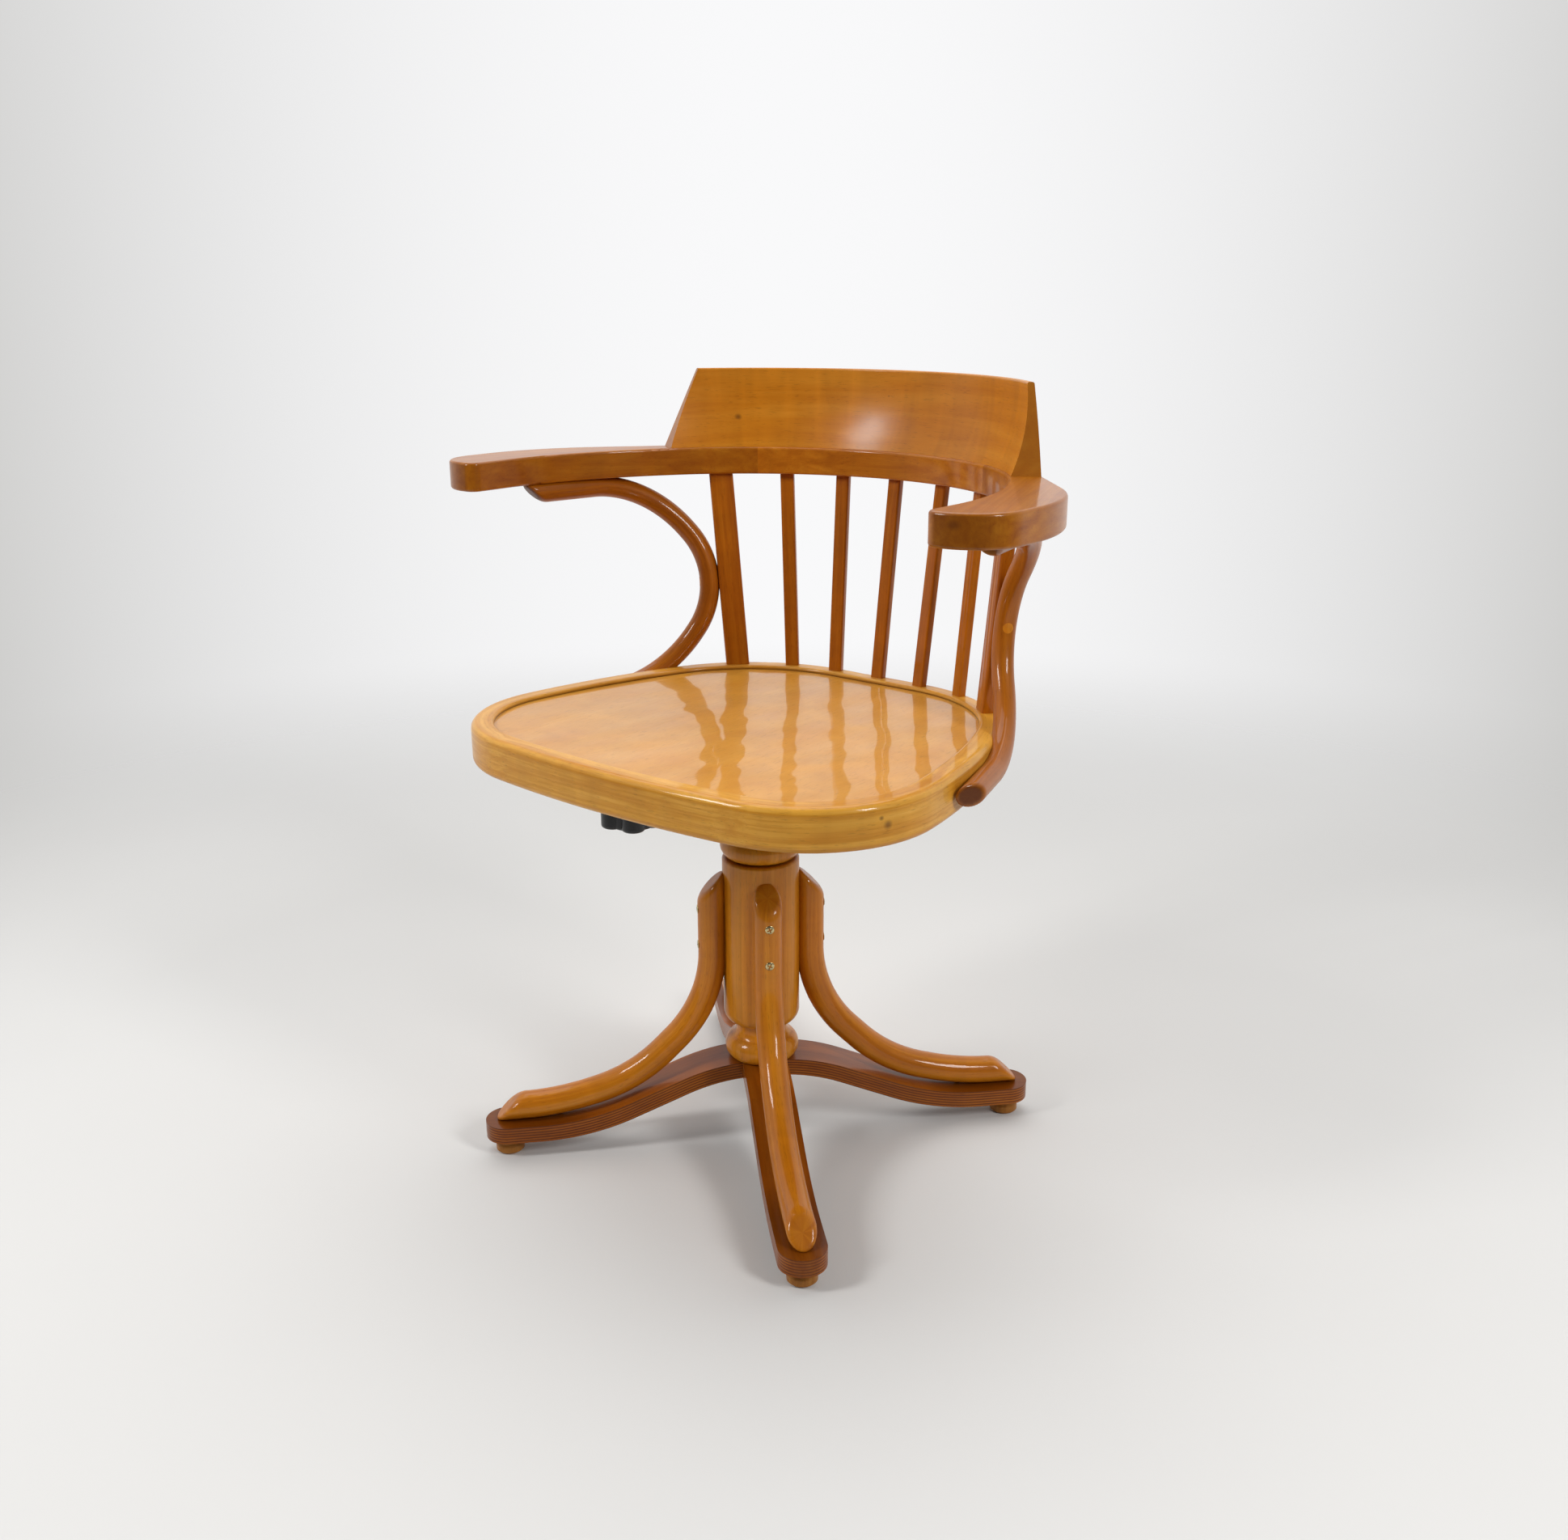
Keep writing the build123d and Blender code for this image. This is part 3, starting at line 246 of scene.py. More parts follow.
# Small hardware: metal, paint, rubber and plastic, each with its own fine texture in object space.
def hardware(name, look):
    material = bpy.data.materials.new(name)
    material.use_nodes = True
    tree = material.node_tree
    shader = tree.nodes["Principled BSDF"]
    place = addNode(tree, "ShaderNodeTexCoord").outputs["Object"]
    blotch = noise(tree, place, 1 / (look["blotchMm"] * mm), 3.0)
    grit = noise(tree, place, 1 / (look["gritMm"] * mm), 2.0)
    colour = mixed(tree, blotch, linear(look["dark"]), linear(look["light"]))
    rough = ranged(tree, grit, 0.0, 1.0, look["rough"] - 0.08, look["rough"] + 0.08)
    bump = addNode(tree, "ShaderNodeBump", {
        "Strength": look["bump"], "Distance": 0.05 * mm, "Height": grit}).outputs[0]
    tree.links.new(colour, shader.inputs["Base Color"])
    tree.links.new(rough, shader.inputs["Roughness"])
    tree.links.new(bump, shader.inputs["Normal"])
    shader.inputs["Metallic"].default_value = look["metallic"]
    return material


passivatedSteel = hardware("yellowPassivatedSteel", {  # zinc dipped in chromate, a brassy sheen
    "dark": "#b5a06a", "light": "#ddd0a2", "blotchMm": 3.0, "gritMm": 0.6,
    "rough": 0.24, "bump": 0.2, "metallic": 1.0})
zincSteel = hardware("zincPlatedSteel", {  # bright plating over turned steel
    "dark": "#85888c", "light": "#aeb1b4", "blotchMm": 6.0, "gritMm": 0.8,
    "rough": 0.34, "bump": 0.2, "metallic": 1.0})
blackCasting = hardware("blackPaintedCasting", {  # sand-cast skin under paint
    "dark": "#131314", "light": "#232325", "blotchMm": 12.0, "gritMm": 1.1,
    "rough": 0.55, "bump": 0.9, "metallic": 0.0})
blackPaint = hardware("blackPaintedPressing", {  # pressed sheet, sprayed satin black
    "dark": "#101011", "light": "#1c1c1e", "blotchMm": 18.0, "gritMm": 0.7,
    "rough": 0.42, "bump": 0.3, "metallic": 0.0})
rubberBush = hardware("mouldedRubber", {  # dull, faint mould bloom
    "dark": "#0d0d0d", "light": "#171717", "blotchMm": 8.0, "gritMm": 0.5,
    "rough": 0.75, "bump": 0.5, "metallic": 0.0})
naturalNylon = hardware("turnedNylon", {  # milky and waxy
    "dark": "#cfcabd", "light": "#e2ded2", "blotchMm": 10.0, "gritMm": 0.6,
    "rough": 0.40, "bump": 0.2, "metallic": 0.0})
blackMoulding = hardware("mouldedPhenolic", {  # phenolic knob, satin from the mould
    "dark": "#0b0b0c", "light": "#151516", "blotchMm": 14.0, "gritMm": 0.5,
    "rough": 0.30, "bump": 0.15, "metallic": 0.0})

hardwareOf = {
    "steel": zincSteel, "cast_steel": blackCasting, "pressed_steel": blackPaint,
    "screw_brass": passivatedSteel, "nylon": naturalNylon, "rubber": rubberBush,
    "black_plastic": blackMoulding}
slotOf = {part["node"]: part["material_slot"] for part in frame["record"]["subparts"]}
for nodeName, nodeObject in cadNodes.items():
    if slotOf[nodeName] in hardwareOf:
        for slot in nodeObject.material_slots:
            slot.material = hardwareOf[slotOf[nodeName]]
print("materials made")


def settle(piece, body, replaced):
    bpy.context.scene.collection.objects.link(piece)
    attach(piece, body)
    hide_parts(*replaced)


# The piece's modifiers turned into its mesh.
def converted(piece):
    bpy.context.scene.collection.objects.link(piece)
    bpy.context.view_layer.update()
    shaped = piece.evaluated_get(bpy.context.evaluated_depsgraph_get())
    made = bpy.data.meshes.new_from_object(shaped)
    piece.modifiers.clear()
    piece.data = made
    made.name = piece.name
    bpy.context.scene.collection.objects.unlink(piece)
    return piece


def smoothed(mesh, sharpDegrees):
    mesh.polygons.foreach_set("use_smooth", [True] * len(mesh.polygons))
    mesh.set_sharp_from_angle(angle=radians(sharpDegrees))


def readAll(items, name, width, kind):
    values = np.zeros(len(items) * width, kind)
    items.foreach_get(name, values)
    return values.reshape(-1, width) if width > 1 else values


# A wooden node dressed with its grain: a merged copy whose corners carry (along, across, through),
# in metres, and their share of cut end.
def dressed(pieceName, nodeName, material, grainOf, sharpDegrees=38, proud=0.0):
    source = cadNodes[nodeName]
    work = bmesh.new()
    work.from_mesh(source.data)
    bmesh.ops.remove_doubles(work, verts=work.verts, dist=0.01 * mm)
    mesh = bpy.data.meshes.new(pieceName)
    work.to_mesh(mesh)
    work.free()
    mesh.materials.clear()
    mesh.materials.append(material)
    for name in [a.name for a in mesh.attributes if a.name == "custom_normal"]:
        mesh.attributes.remove(mesh.attributes[name])
    spots = readAll(mesh.vertices, "co", 3, np.float32).astype(float) - np.array([0, swivelY, 0])
    corners = readAll(mesh.loops, "vertex_index", 1, np.int32)
    starts = readAll(mesh.polygons, "loop_start", 1, np.int32)
    cornerCounts = np.diff(np.append(starts, len(corners)))
    firstCorners = np.repeat(starts, cornerCounts)
    grain, along = grainOf(spots[corners], spots[corners[firstCorners]])
    layer = mesh.attributes.new("grain", "FLOAT_VECTOR", "CORNER")
    layer.data.foreach_set("vector", grain.astype(np.float32).ravel())
    faceOut = np.repeat(readAll(mesh.polygons, "normal", 3, np.float32), cornerCounts, 0)
    cutShare = np.clip((np.abs((faceOut * along).sum(1)) - 0.75) / 0.2, 0, 1)
    layer = mesh.attributes.new("endCut", "FLOAT", "CORNER")
    layer.data.foreach_set("value", cutShare.astype(np.float32))
    if proud:
        for vertex in mesh.vertices:
            vertex.co += vertex.normal * proud * mm
    smoothed(mesh, sharpDegrees)
    piece = bpy.data.objects.new(pieceName, mesh)
    weigh = piece.modifiers.new("faceWeight", "WEIGHTED_NORMAL")  # flat faces stay flat at rounds
    weigh.keep_sharp = True
    settle(converted(piece), source["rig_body"], [nodeName])


def straightGrain(along, across, shift):
    along = np.array(along, float) / np.linalg.norm(along)
    across = np.array(across, float) / np.linalg.norm(across)
    through = np.cross(along, across)
    return lambda p, q: (np.stack([p @ along + shift, p @ across, p @ through], 1), along)


# How far round the seat a point lies: 0 and 1 meet at the back, where the rim's scarf is.
def rimTurnOf(p):
    return (np.arctan2(p[:, 0], -p[:, 1]) + pi) / (2 * pi)


# Seat: the rim's grain runs round it, along the line its own vertices follow.
rimPoints = np.array([v.co for v in cadNodes["seat_rim"].data.vertices], float)
rimPoints = rimPoints - np.array([0, swivelY, 0])
rimBins = 120
rimTurn = rimTurnOf(rimPoints)
rimFar = np.hypot(rimPoints[:, 0], rimPoints[:, 1])
rimPlace = (np.arange(rimBins) + 0.5) / rimBins
rimLine = []
for place in rimPlace:
    there = rimFar[np.abs((rimTurn - place + 0.5) % 1 - 0.5) < 1 / rimBins]
    rimLine.append(np.mean([there.max(), there.min()]))
rimLine = np.array(rimLine)
rimSpots = np.stack([np.sin(2 * pi * rimPlace), np.cos(2 * pi * rimPlace)], 1) * rimLine[:, None]
rimSteps = np.hypot(*(np.roll(rimSpots, -1, 0) - rimSpots).T)
rimRun = np.concatenate([[0], np.cumsum(rimSteps)])


def rimGrain(p, q):
    turn, home = rimTurnOf(p), rimTurnOf(q)
    turn = turn + np.round(home - turn)  # a face that crosses the scarf stays on one side of it
    runs = np.concatenate([[-rimSteps[-1]], rimRun, [rimRun[-1] + rimSteps[0]]])
    along = np.interp(turn * rimBins - 0.5, np.arange(-1, rimBins + 2), runs)
    across = np.hypot(p[:, 0], p[:, 1]) - np.interp(turn % 1, rimPlace, rimLine, period=1)
    return np.stack([along, across, p[:, 2]], 1), np.zeros(3)


dressed("seatRim", "seat_rim", rimBeech, rimGrain)
dressed("seatPanel", "seat_panel", panelVeneer, straightGrain((0, 1, 0), (1, 0, 0), 0.4))
for name, shift in (("seat_batten_front", 1.1), ("seat_batten_back", 1.9)):
    dressed(name + "Board", name, backBeech, straightGrain((1, 0, 0), (0, 1, 0), shift))

# Back: rail and arms are sawn boards with straight grain; the crest's grain follows its bend.
backPlan = {"railCentreMm": -33.0, "railLineMm": 266.0}


def crestGrain(p, q):
    y = p[:, 1] - backPlan["railCentreMm"] * mm
    bearing = np.arctan2(p[:, 0], y)
    along = bearing * backPlan["railLineMm"] * mm + 2.3
    grain = np.stack([along, p[:, 2], np.hypot(p[:, 0], y)], 1)
    return grain, np.stack([np.cos(bearing), -np.sin(bearing), 0 * bearing], 1)


leftArmGrain = straightGrain((0.36, -0.93, 0), (0.93, 0.36, 0), 4.4)
rightArmGrain = straightGrain((-0.36, -0.93, 0), (0.93, -0.36, 0), 5.2)
dressed("crestBoard", "crest", crestBeech, crestGrain, 50)
dressed("backRailBoard", "back_rail", backBeech, straightGrain((1, 0, 0), (0, 0, 1), 3.1))
dressed("armLeftBoard", "arm_left", armBeech, leftArmGrain)
dressed("armRightBoard", "arm_right", armBeech, rightArmGrain)

# Turned pieces: grain up the middle of the turning.
columnGrain = straightGrain((0, 0, 1), (0.75, 0.66, 0), 0.2)
lockRingGrain = straightGrain((0, 0, 1), (0.4, 0.9, 0), 6.7)
plugGrain = straightGrain((0, 0, 1), (1, 0, 0), 8.1)
dressed("turnedColumn", "column", columnBeech, columnGrain, 30)
dressed("lockRingTurning", "lock_ring", columnBeech, lockRingGrain, 30)
for i in range(4):
    footGrain = straightGrain((0, 0, 1), (1, 0, 0), 0.7 * i)
    dressed(f"footTurning{i + 1}", f"foot_{i + 1}", footBeech, footGrain, 24)
dressed("bracePlugs", "brace_plugs", plugBeech, plugGrain, proud=0.25)

# Cross bars: veneers follow the gull-wing bend, so their glue lines show along both edges.
gull = {"midMm": 85.0, "flatMm": 8.0, "crownMm": 200.0, "sagMm": 250.0, "slope": 22.5,
        "riseMm": 57.5}


def gullHeight(reach):
    slope = radians(gull["slope"])
    mid, flat, crownRadius, sagRadius = (gull[k] for k in ("midMm", "flatMm", "crownMm", "sagMm"))
    crownEnd = flat + crownRadius * sin(slope)
    fall = (gull["riseMm"] - (crownRadius + sagRadius) * (1 - cos(slope))) / tan(slope)
    sagStart = crownEnd + fall
    sagEnd = sagStart + sagRadius * sin(slope)
    low = mid - gull["riseMm"]
    crownDrop = np.maximum(crownRadius ** 2 - np.maximum(reach - flat, 0) ** 2, 1)
    crown = mid - crownRadius + np.sqrt(crownDrop)
    line = mid - crownRadius * (1 - cos(slope)) - (reach - crownEnd) * tan(slope)
    sag = low + sagRadius - np.sqrt(np.maximum(sagRadius ** 2 - (sagEnd - reach) ** 2, 1))
    return np.select([reach < crownEnd, reach < sagStart, reach < sagEnd], [crown, line, sag], low)


def barGrain(direction, shift):
    def grainOf(p, q):
        reach = p[:, 0] * direction[0] + p[:, 1] * direction[1]
        across = p[:, 1] * direction[0] - p[:, 0] * direction[1]
        through = p[:, 2] - gullHeight(np.abs(reach) / mm) * mm + 0.5
        return np.stack([reach + shift, across, through], 1), np.array([*direction, 0.0])
    return grainOf


barTurn = radians(legBearing)
lowerGrain = barGrain((cos(barTurn), sin(barTurn)), 0.3)
upperGrain = barGrain((-sin(barTurn), cos(barTurn)), 1.7)
dressed("crossBarLower", "base_bar_lower", barBeech, lowerGrain)
dressed("crossBarUpper", "base_bar_upper", barBeech, upperGrain)
print("wooden boards and turnings dressed")


# An empty shape tree with its inputs, and what the shape trees share.
def shapeTree(name, floats, whole=()):
    tree = bpy.data.node_groups.new(name, "GeometryNodeTree")
    kinds = {"Geometry": "Geometry", **dict.fromkeys(floats, "Float"),
             **dict.fromkeys(whole, "Int"), "Material": "Material"}
    for label, kind in kinds.items():
        tree.interface.new_socket(label, in_out="INPUT", socket_type="NodeSocket" + kind)
    tree.interface.new_socket("Geometry", in_out="OUTPUT", socket_type="NodeSocketGeometry")
    return tree, addNode(tree, "NodeGroupInput").outputs


def named(tree, name, kind):
    node = addNode(tree, "GeometryNodeInputNamedAttribute", {0: name}, data_type=kind)
    return next(output for output in node.outputs if output.enabled)


def stored(tree, geometry, name, value, kind):
    links = {"Geometry": geometry, "Name": name, "Value": value}
    node = addNode(tree, "GeometryNodeStoreNamedAttribute", links, data_type=kind, domain="POINT")
    return node.outputs[0]


def captured(tree, geometry, fields):
    keep = addNode(tree, "GeometryNodeCaptureAttribute", {0: geometry})
    for label, (kind, field) in fields.items():
        keep.capture_items.new(kind, label)
        tree.links.new(field, keep.inputs[label])
    return keep.outputs


def closeTree(tree, geometry, material):
    solid = addNode(tree, "GeometryNodeRealizeInstances", {0: geometry}).outputs[0]
    links = {"Geometry": solid, "Material": material}
    solid = addNode(tree, "GeometryNodeSetMaterial", links).outputs[0]
    addNode(tree, "NodeGroupOutput", {0: solid})


# Bent rods: a tree that sweeps a round along a bent line and rounds over both slanted ends.
def bentRodTree():
    tree, given = shapeTree("bentRod", ("Diameter", "Ring Spacing"), ("Sides", "Bend Steps"))
    number, vector = partial(sums, tree), partial(vectors, tree)
    radius = number("MULTIPLY", given["Diameter"], 0.5)

    def position():
        return addNode(tree, "GeometryNodeInputPosition").outputs[0]

    def scaled(direction, factor):
        links = {0: direction, "Scale": factor}
        return addNode(tree, "ShaderNodeVectorMath", links, operation="SCALE").outputs[0]

    line = addNode(tree, "GeometryNodeMeshToCurve", {0: given["Geometry"]}).outputs[0]
    bent = addNode(tree, "GeometryNodeFilletCurve", {
        "Curve": line, "Count": given["Bend Steps"], "Radius": named(tree, "bend", "FLOAT")},
        mode="POLY").outputs[0]
    rings = addNode(tree, "GeometryNodeResampleCurve", {
        "Curve": bent, "Length": given["Ring Spacing"]}, mode="LENGTH").outputs[0]
    path = captured(tree, rings, {
        "centre": ("VECTOR", position()),
        "heading": ("VECTOR", addNode(tree, "GeometryNodeInputTangent").outputs[0]),
        "run": ("FLOAT", addNode(tree, "GeometryNodeSplineParameter").outputs["Length"])})
    circle = addNode(tree, "GeometryNodeCurvePrimitiveCircle", {
        "Resolution": given["Sides"], "Radius": radius}, mode="RADIUS").outputs[0]
    rim = captured(tree, circle, {"around": ("VECTOR", position())})
    solid = addNode(tree, "GeometryNodeCurveToMesh", {
        "Curve": path[0], "Profile Curve": rim[0], "Fill Caps": True}).outputs[0]
    centre, heading = path["centre"], path["heading"]
    endCut = None
    for end, side in (("start", -1.0), ("finish", 1.0)):
        at = named(tree, end + "At", "FLOAT_VECTOR")
        facing = named(tree, end + "Facing", "FLOAT_VECTOR")
        bevel = named(tree, end + "Round", "FLOAT")
        spot, out = position(), scaled(heading, side)
        lean = number("MAXIMUM", vector("DOT_PRODUCT", out, facing), 0.2)
        near = number("LESS_THAN", vector("DISTANCE", centre, at), 0.09)
        depth = vector("DOT_PRODUCT", vector("SUBTRACT", spot, at), facing)
        past = number("ADD", depth, bevel)
        angle = number("DIVIDE", number("MAXIMUM", past, 0.0), bevel)
        angle = number("MINIMUM", angle, pi / 2)
        eased = number("SUBTRACT", number("MULTIPLY", bevel, number("SINE", angle)), bevel)
        newDepth = number("MINIMUM", depth, eased)
        lost = number("MULTIPLY", bevel, number("SUBTRACT", 1.0, number("COSINE", angle)))
        beyond = number("SUBTRACT", past, number("MULTIPLY", bevel, pi / 2))
        lost = number("ADD", lost, number("MAXIMUM", beyond, 0.0))
        share = number("SUBTRACT", 1.0, number("DIVIDE", lost, radius))
        share = number("MAXIMUM", share, 0.0)
        radial = vector("SUBTRACT", spot, centre)
        rise = number("DIVIDE", vector("DOT_PRODUCT", radial, facing), lean)
        tilted = vector("SUBTRACT", radial, scaled(out, rise))
        centreDepth = vector("DOT_PRODUCT", vector("SUBTRACT", centre, at), facing)
        slide = number("DIVIDE", number("SUBTRACT", newDepth, centreDepth), lean)
        moved = vector("ADD", vector("ADD", centre, scaled(out, slide)), scaled(tilted, share))
        cutShare = number("MULTIPLY", near, number("SUBTRACT", 1.0, share))
        keep = captured(tree, solid, {"cut": ("FLOAT", cutShare)})
        solid = addNode(tree, "GeometryNodeSetPosition", {
            "Geometry": keep[0], "Selection": near, "Position": moved}).outputs[0]
        endCut = keep["cut"] if endCut is None else number("MAXIMUM", endCut, keep["cut"])
    solid = stored(tree, solid, "endCut", ranged(tree, endCut, 0.04, 0.30), "FLOAT")
    around = addNode(tree, "ShaderNodeSeparateXYZ", {0: rim["around"]}).outputs
    along = number("ADD", path["run"], named(tree, "shift", "FLOAT"))
    grain = addNode(tree, "ShaderNodeCombineXYZ", {0: along, 1: around[0], 2: around[1]}).outputs[0]
    solid = stored(tree, solid, "grain", grain, "FLOAT_VECTOR")
    solid = addNode(tree, "GeometryNodeMergeByDistance", {
        "Geometry": solid, "Distance": 0.04 * mm}).outputs[0]
    solid = addNode(tree, "GeometryNodeSetShadeSmooth", {
        "Geometry": solid, "Shade Smooth": True}).outputs[0]
    closeTree(tree, solid, given["Material"])
    return tree


def withTree(pieceName, mesh, tree, values):
    piece = bpy.data.objects.new(pieceName, mesh)
    modifier = piece.modifiers.new("shape", "NODES")
    modifier.node_group = tree
    for item in tree.interface.items_tree:
        if item.in_out == "INPUT" and item.name in values:
            modifier[item.identifier] = values[item.name]
    converted(piece)
    print(pieceName, len(piece.data.polygons), "faces")
    return piece


def bendRadii(points, share):
    radii = [0.0]
    for a, b, c in zip(points, points[1:], points[2:]):
        turn = (b - a).angle(c - b)
        radii.append(share * min((b - a).length, (c - b).length) / 2 / tan(turn / 2))
    return radii + [0.0]


def setValues(mesh, name, listed):
    if isinstance(listed[0], (int, float)):
        mesh.attributes.new(name, "FLOAT", "POINT").data.foreach_set("value", listed)
    else:
        flat = [x for v in listed for x in v]
        mesh.attributes.new(name, "FLOAT_VECTOR", "POINT").data.foreach_set("vector", flat)


# The rods' bent lines, each point carrying what the tree needs to know of its rod.
def rodLines(pieceName, rods, bendShare, spareMm):
    home = Vector((0, swivelY, 0))
    spots, edges, values = [], [], {"bend": []}
    for rod in rods:
        points = [Vector(p) * mm + home for p in rod["corners"]]
        values["bend"] += bendRadii(points, bendShare)
        # overlong, then cut on the slant
        points[0] += (points[0] - points[1]).normalized() * spareMm * mm
        points[-1] += (points[-1] - points[-2]).normalized() * spareMm * mm
        edges += [(len(spots) + i, len(spots) + i + 1) for i in range(len(points) - 1)]
        spots += points
        same = {"shift": rod["shift"]}
        for end, bevelMm in zip(("start", "finish"), rod["roundMm"]):
            same[end + "Round"] = bevelMm * mm
            same[end + "At"] = Vector(rod[end + "At"]) * mm + home
            same[end + "Facing"] = Vector(rod[end + "Facing"]).normalized()
        for name, value in same.items():
            values.setdefault(name, []).extend([value] * len(points))
    mesh = bpy.data.meshes.new(pieceName)
    mesh.from_pydata(spots, edges, [])
    for name, listed in values.items():
        setValues(mesh, name, listed)
    return mesh


rodTree = bentRodTree()
bendShare = 0.97  # of the longest bend that the straight runs allow
legPlan = {
    "diameterMm": 29.0, "axisMm": 51.5, "topMm": 317.0, "kneeMm": 157.0, "ankleMm": (135.0, 73.5),
    "toeMm": 220.0, "toeHighMm": 50.6, "reachMm": 294.0, "columnMm": 39.8, "pointMm": 301.5,
    "tipMm": 285.0, "barTopMm": 36.5, "roundMm": (5.0, 5.0), "spareMm": 34.0}
legCorners = [
    (legPlan["axisMm"], 0, legPlan["topMm"]), (legPlan["axisMm"], 0, legPlan["kneeMm"]),
    (legPlan["ankleMm"][0], 0, legPlan["ankleMm"][1]), (legPlan["toeMm"], 0, legPlan["toeHighMm"]),
    (legPlan["reachMm"], 0, legPlan["toeHighMm"])]
legRods = []
for i in range(4):
    turned = Matrix.Rotation(radians(legBearing + 90 * i), 3, "Z")
    legRods.append({
        "corners": [turned @ Vector(c) for c in legCorners],
        "shift": 0.9 * i, "roundMm": legPlan["roundMm"],
        "startAt": turned @ Vector((legPlan["columnMm"], 0, legPlan["pointMm"])),
        "startFacing": turned @ Vector((1, 0, 1)),
        "finishAt": turned @ Vector((legPlan["tipMm"], 0, legPlan["barTopMm"])),
        "finishFacing": turned @ Vector((1, 0, 1))})
legLines = rodLines("bentLegs", legRods, bendShare, legPlan["spareMm"])
legs = withTree("bentLegs", legLines, rodTree, {
    "Diameter": legPlan["diameterMm"] * mm, "Ring Spacing": 2.0 * mm, "Sides": 36,
    "Bend Steps": 30, "Material": legBeech})
settle(legs, "base", [f"leg_{i + 1}" for i in range(4)])

bracePlan = {
    "diameterMm": 22.0, "topMm": 667.0, "lowMm": 443.5, "waistMm": (174.0, 161.4, 559.5),
    "tipMm": (278.8, -47.5), "shoulderMm": (248.6, 106.9), "hipMm": (227.2, 101.0),
    "endMm": (268.1, -40.1), "roundMm": (5.0, 2.0), "spareMm": 26.0}
tip, shoulder = (Vector((*bracePlan[k], bracePlan["topMm"])) for k in ("tipMm", "shoulderMm"))
hip, end = (Vector((*bracePlan[k], bracePlan["lowMm"])) for k in ("hipMm", "endMm"))
topRun, lowRun = (tip - shoulder).normalized(), (end - hip).normalized()
braceRadius = bracePlan["diameterMm"] / 2
braceRods = []
for side in (1, -1):
    flip = Vector((side, 1, 1))
    corners = (tip, shoulder, Vector(bracePlan["waistMm"]), hip, end)
    braceRods.append({
        "corners": [c * flip for c in corners], "shift": 2.0 + side,
        "roundMm": bracePlan["roundMm"],
        "startAt": (tip - topRun * braceRadius) * flip,
        "startFacing": (topRun + Vector((0, 0, -1))) * flip,
        "finishAt": (end - lowRun * braceRadius) * flip,
        "finishFacing": (lowRun + Vector((0, 0, 1)).cross(lowRun)) * flip})
braceLines = rodLines("bentBraces", braceRods, bendShare, bracePlan["spareMm"])
braces = withTree("bentBraces", braceLines, rodTree, {
    "Diameter": bracePlan["diameterMm"] * mm, "Ring Spacing": 2.0 * mm, "Sides": 32,
    "Bend Steps": 30, "Material": rodBeech})
settle(braces, "seat", ["brace_left", "brace_right"])
print("bent rods made")


# Sticks: straight slats and posts with eased corners, on points that carry their lean and length.
def stickTree():
    tree, given = shapeTree("straightStick", ("Width", "Depth", "Corner Round"))
    outline = addNode(tree, "GeometryNodeCurvePrimitiveQuadrilateral", {
        "Width": given["Width"], "Height": given["Depth"]}).outputs[0]
    eased = addNode(tree, "GeometryNodeFilletCurve", {
        "Curve": outline, "Count": 5, "Radius": given["Corner Round"]}, mode="POLY").outputs[0]
    upright = addNode(tree, "GeometryNodeCurvePrimitiveLine", {
        "Start": (0, 0, 0), "End": (0, 0, 1)}).outputs[0]
    upright = addNode(tree, "GeometryNodeResampleCurve", {
        "Curve": upright, "Count": 12}, mode="COUNT").outputs[0]
    stick = addNode(tree, "GeometryNodeCurveToMesh", {
        "Curve": upright, "Profile Curve": eased, "Fill Caps": True}).outputs[0]
    local = addNode(tree, "GeometryNodeInputPosition").outputs[0]
    stick = stored(tree, stick, "local", local, "FLOAT_VECTOR")
    turn = addNode(tree, "FunctionNodeEulerToRotation", {
        0: named(tree, "turn", "FLOAT_VECTOR")}).outputs[0]
    size = addNode(tree, "ShaderNodeCombineXYZ", {
        0: 1.0, 1: 1.0, 2: named(tree, "length", "FLOAT")}).outputs[0]
    stood = addNode(tree, "GeometryNodeInstanceOnPoints", {
        "Points": given["Geometry"], "Instance": stick, "Rotation": turn,
        "Scale": size}).outputs[0]
    stood = addNode(tree, "GeometryNodeRealizeInstances", {0: stood}).outputs[0]
    place = addNode(tree, "ShaderNodeSeparateXYZ", {
        0: named(tree, "local", "FLOAT_VECTOR")}).outputs
    length, shift = named(tree, "length", "FLOAT"), named(tree, "shift", "FLOAT")
    along = sums(tree, "MULTIPLY_ADD", place[2], length, shift)
    grain = addNode(tree, "ShaderNodeCombineXYZ", {0: along, 1: place[0], 2: place[1]}).outputs[0]
    closeTree(tree, stored(tree, stood, "grain", grain, "FLOAT_VECTOR"), given["Material"])
    return tree


# Points that carry a lean (as Euler turns), a length and a grain shift for the trees.
def markedPoints(pieceName, marks):
    mesh = bpy.data.meshes.new(pieceName)
    mesh.from_pydata([m["at"] for m in marks], [], [])
    setValues(mesh, "turn", [m["turn"] for m in marks])
    setValues(mesh, "length", [m.get("length", 1.0) for m in marks])
    setValues(mesh, "shift", [m.get("shift", 0.0) for m in marks])
    return mesh


def facing(zAxis, xAxis):
    z = Vector(zAxis).normalized()
    x = (Vector(xAxis) - z * z.dot(Vector(xAxis))).normalized()
    return Matrix((x, z.cross(x), z)).transposed().to_euler()


def stickMark(foot, top, wide, sinkMm, shift):
    foot, top = (Vector(p) * mm + Vector((0, swivelY, 0)) for p in (foot, top))
    run = (top - foot).normalized()
    return {"at": foot - run * sinkMm * mm, "turn": facing(run, wide),
            "length": (top - foot).length + 2 * sinkMm * mm, "shift": shift}


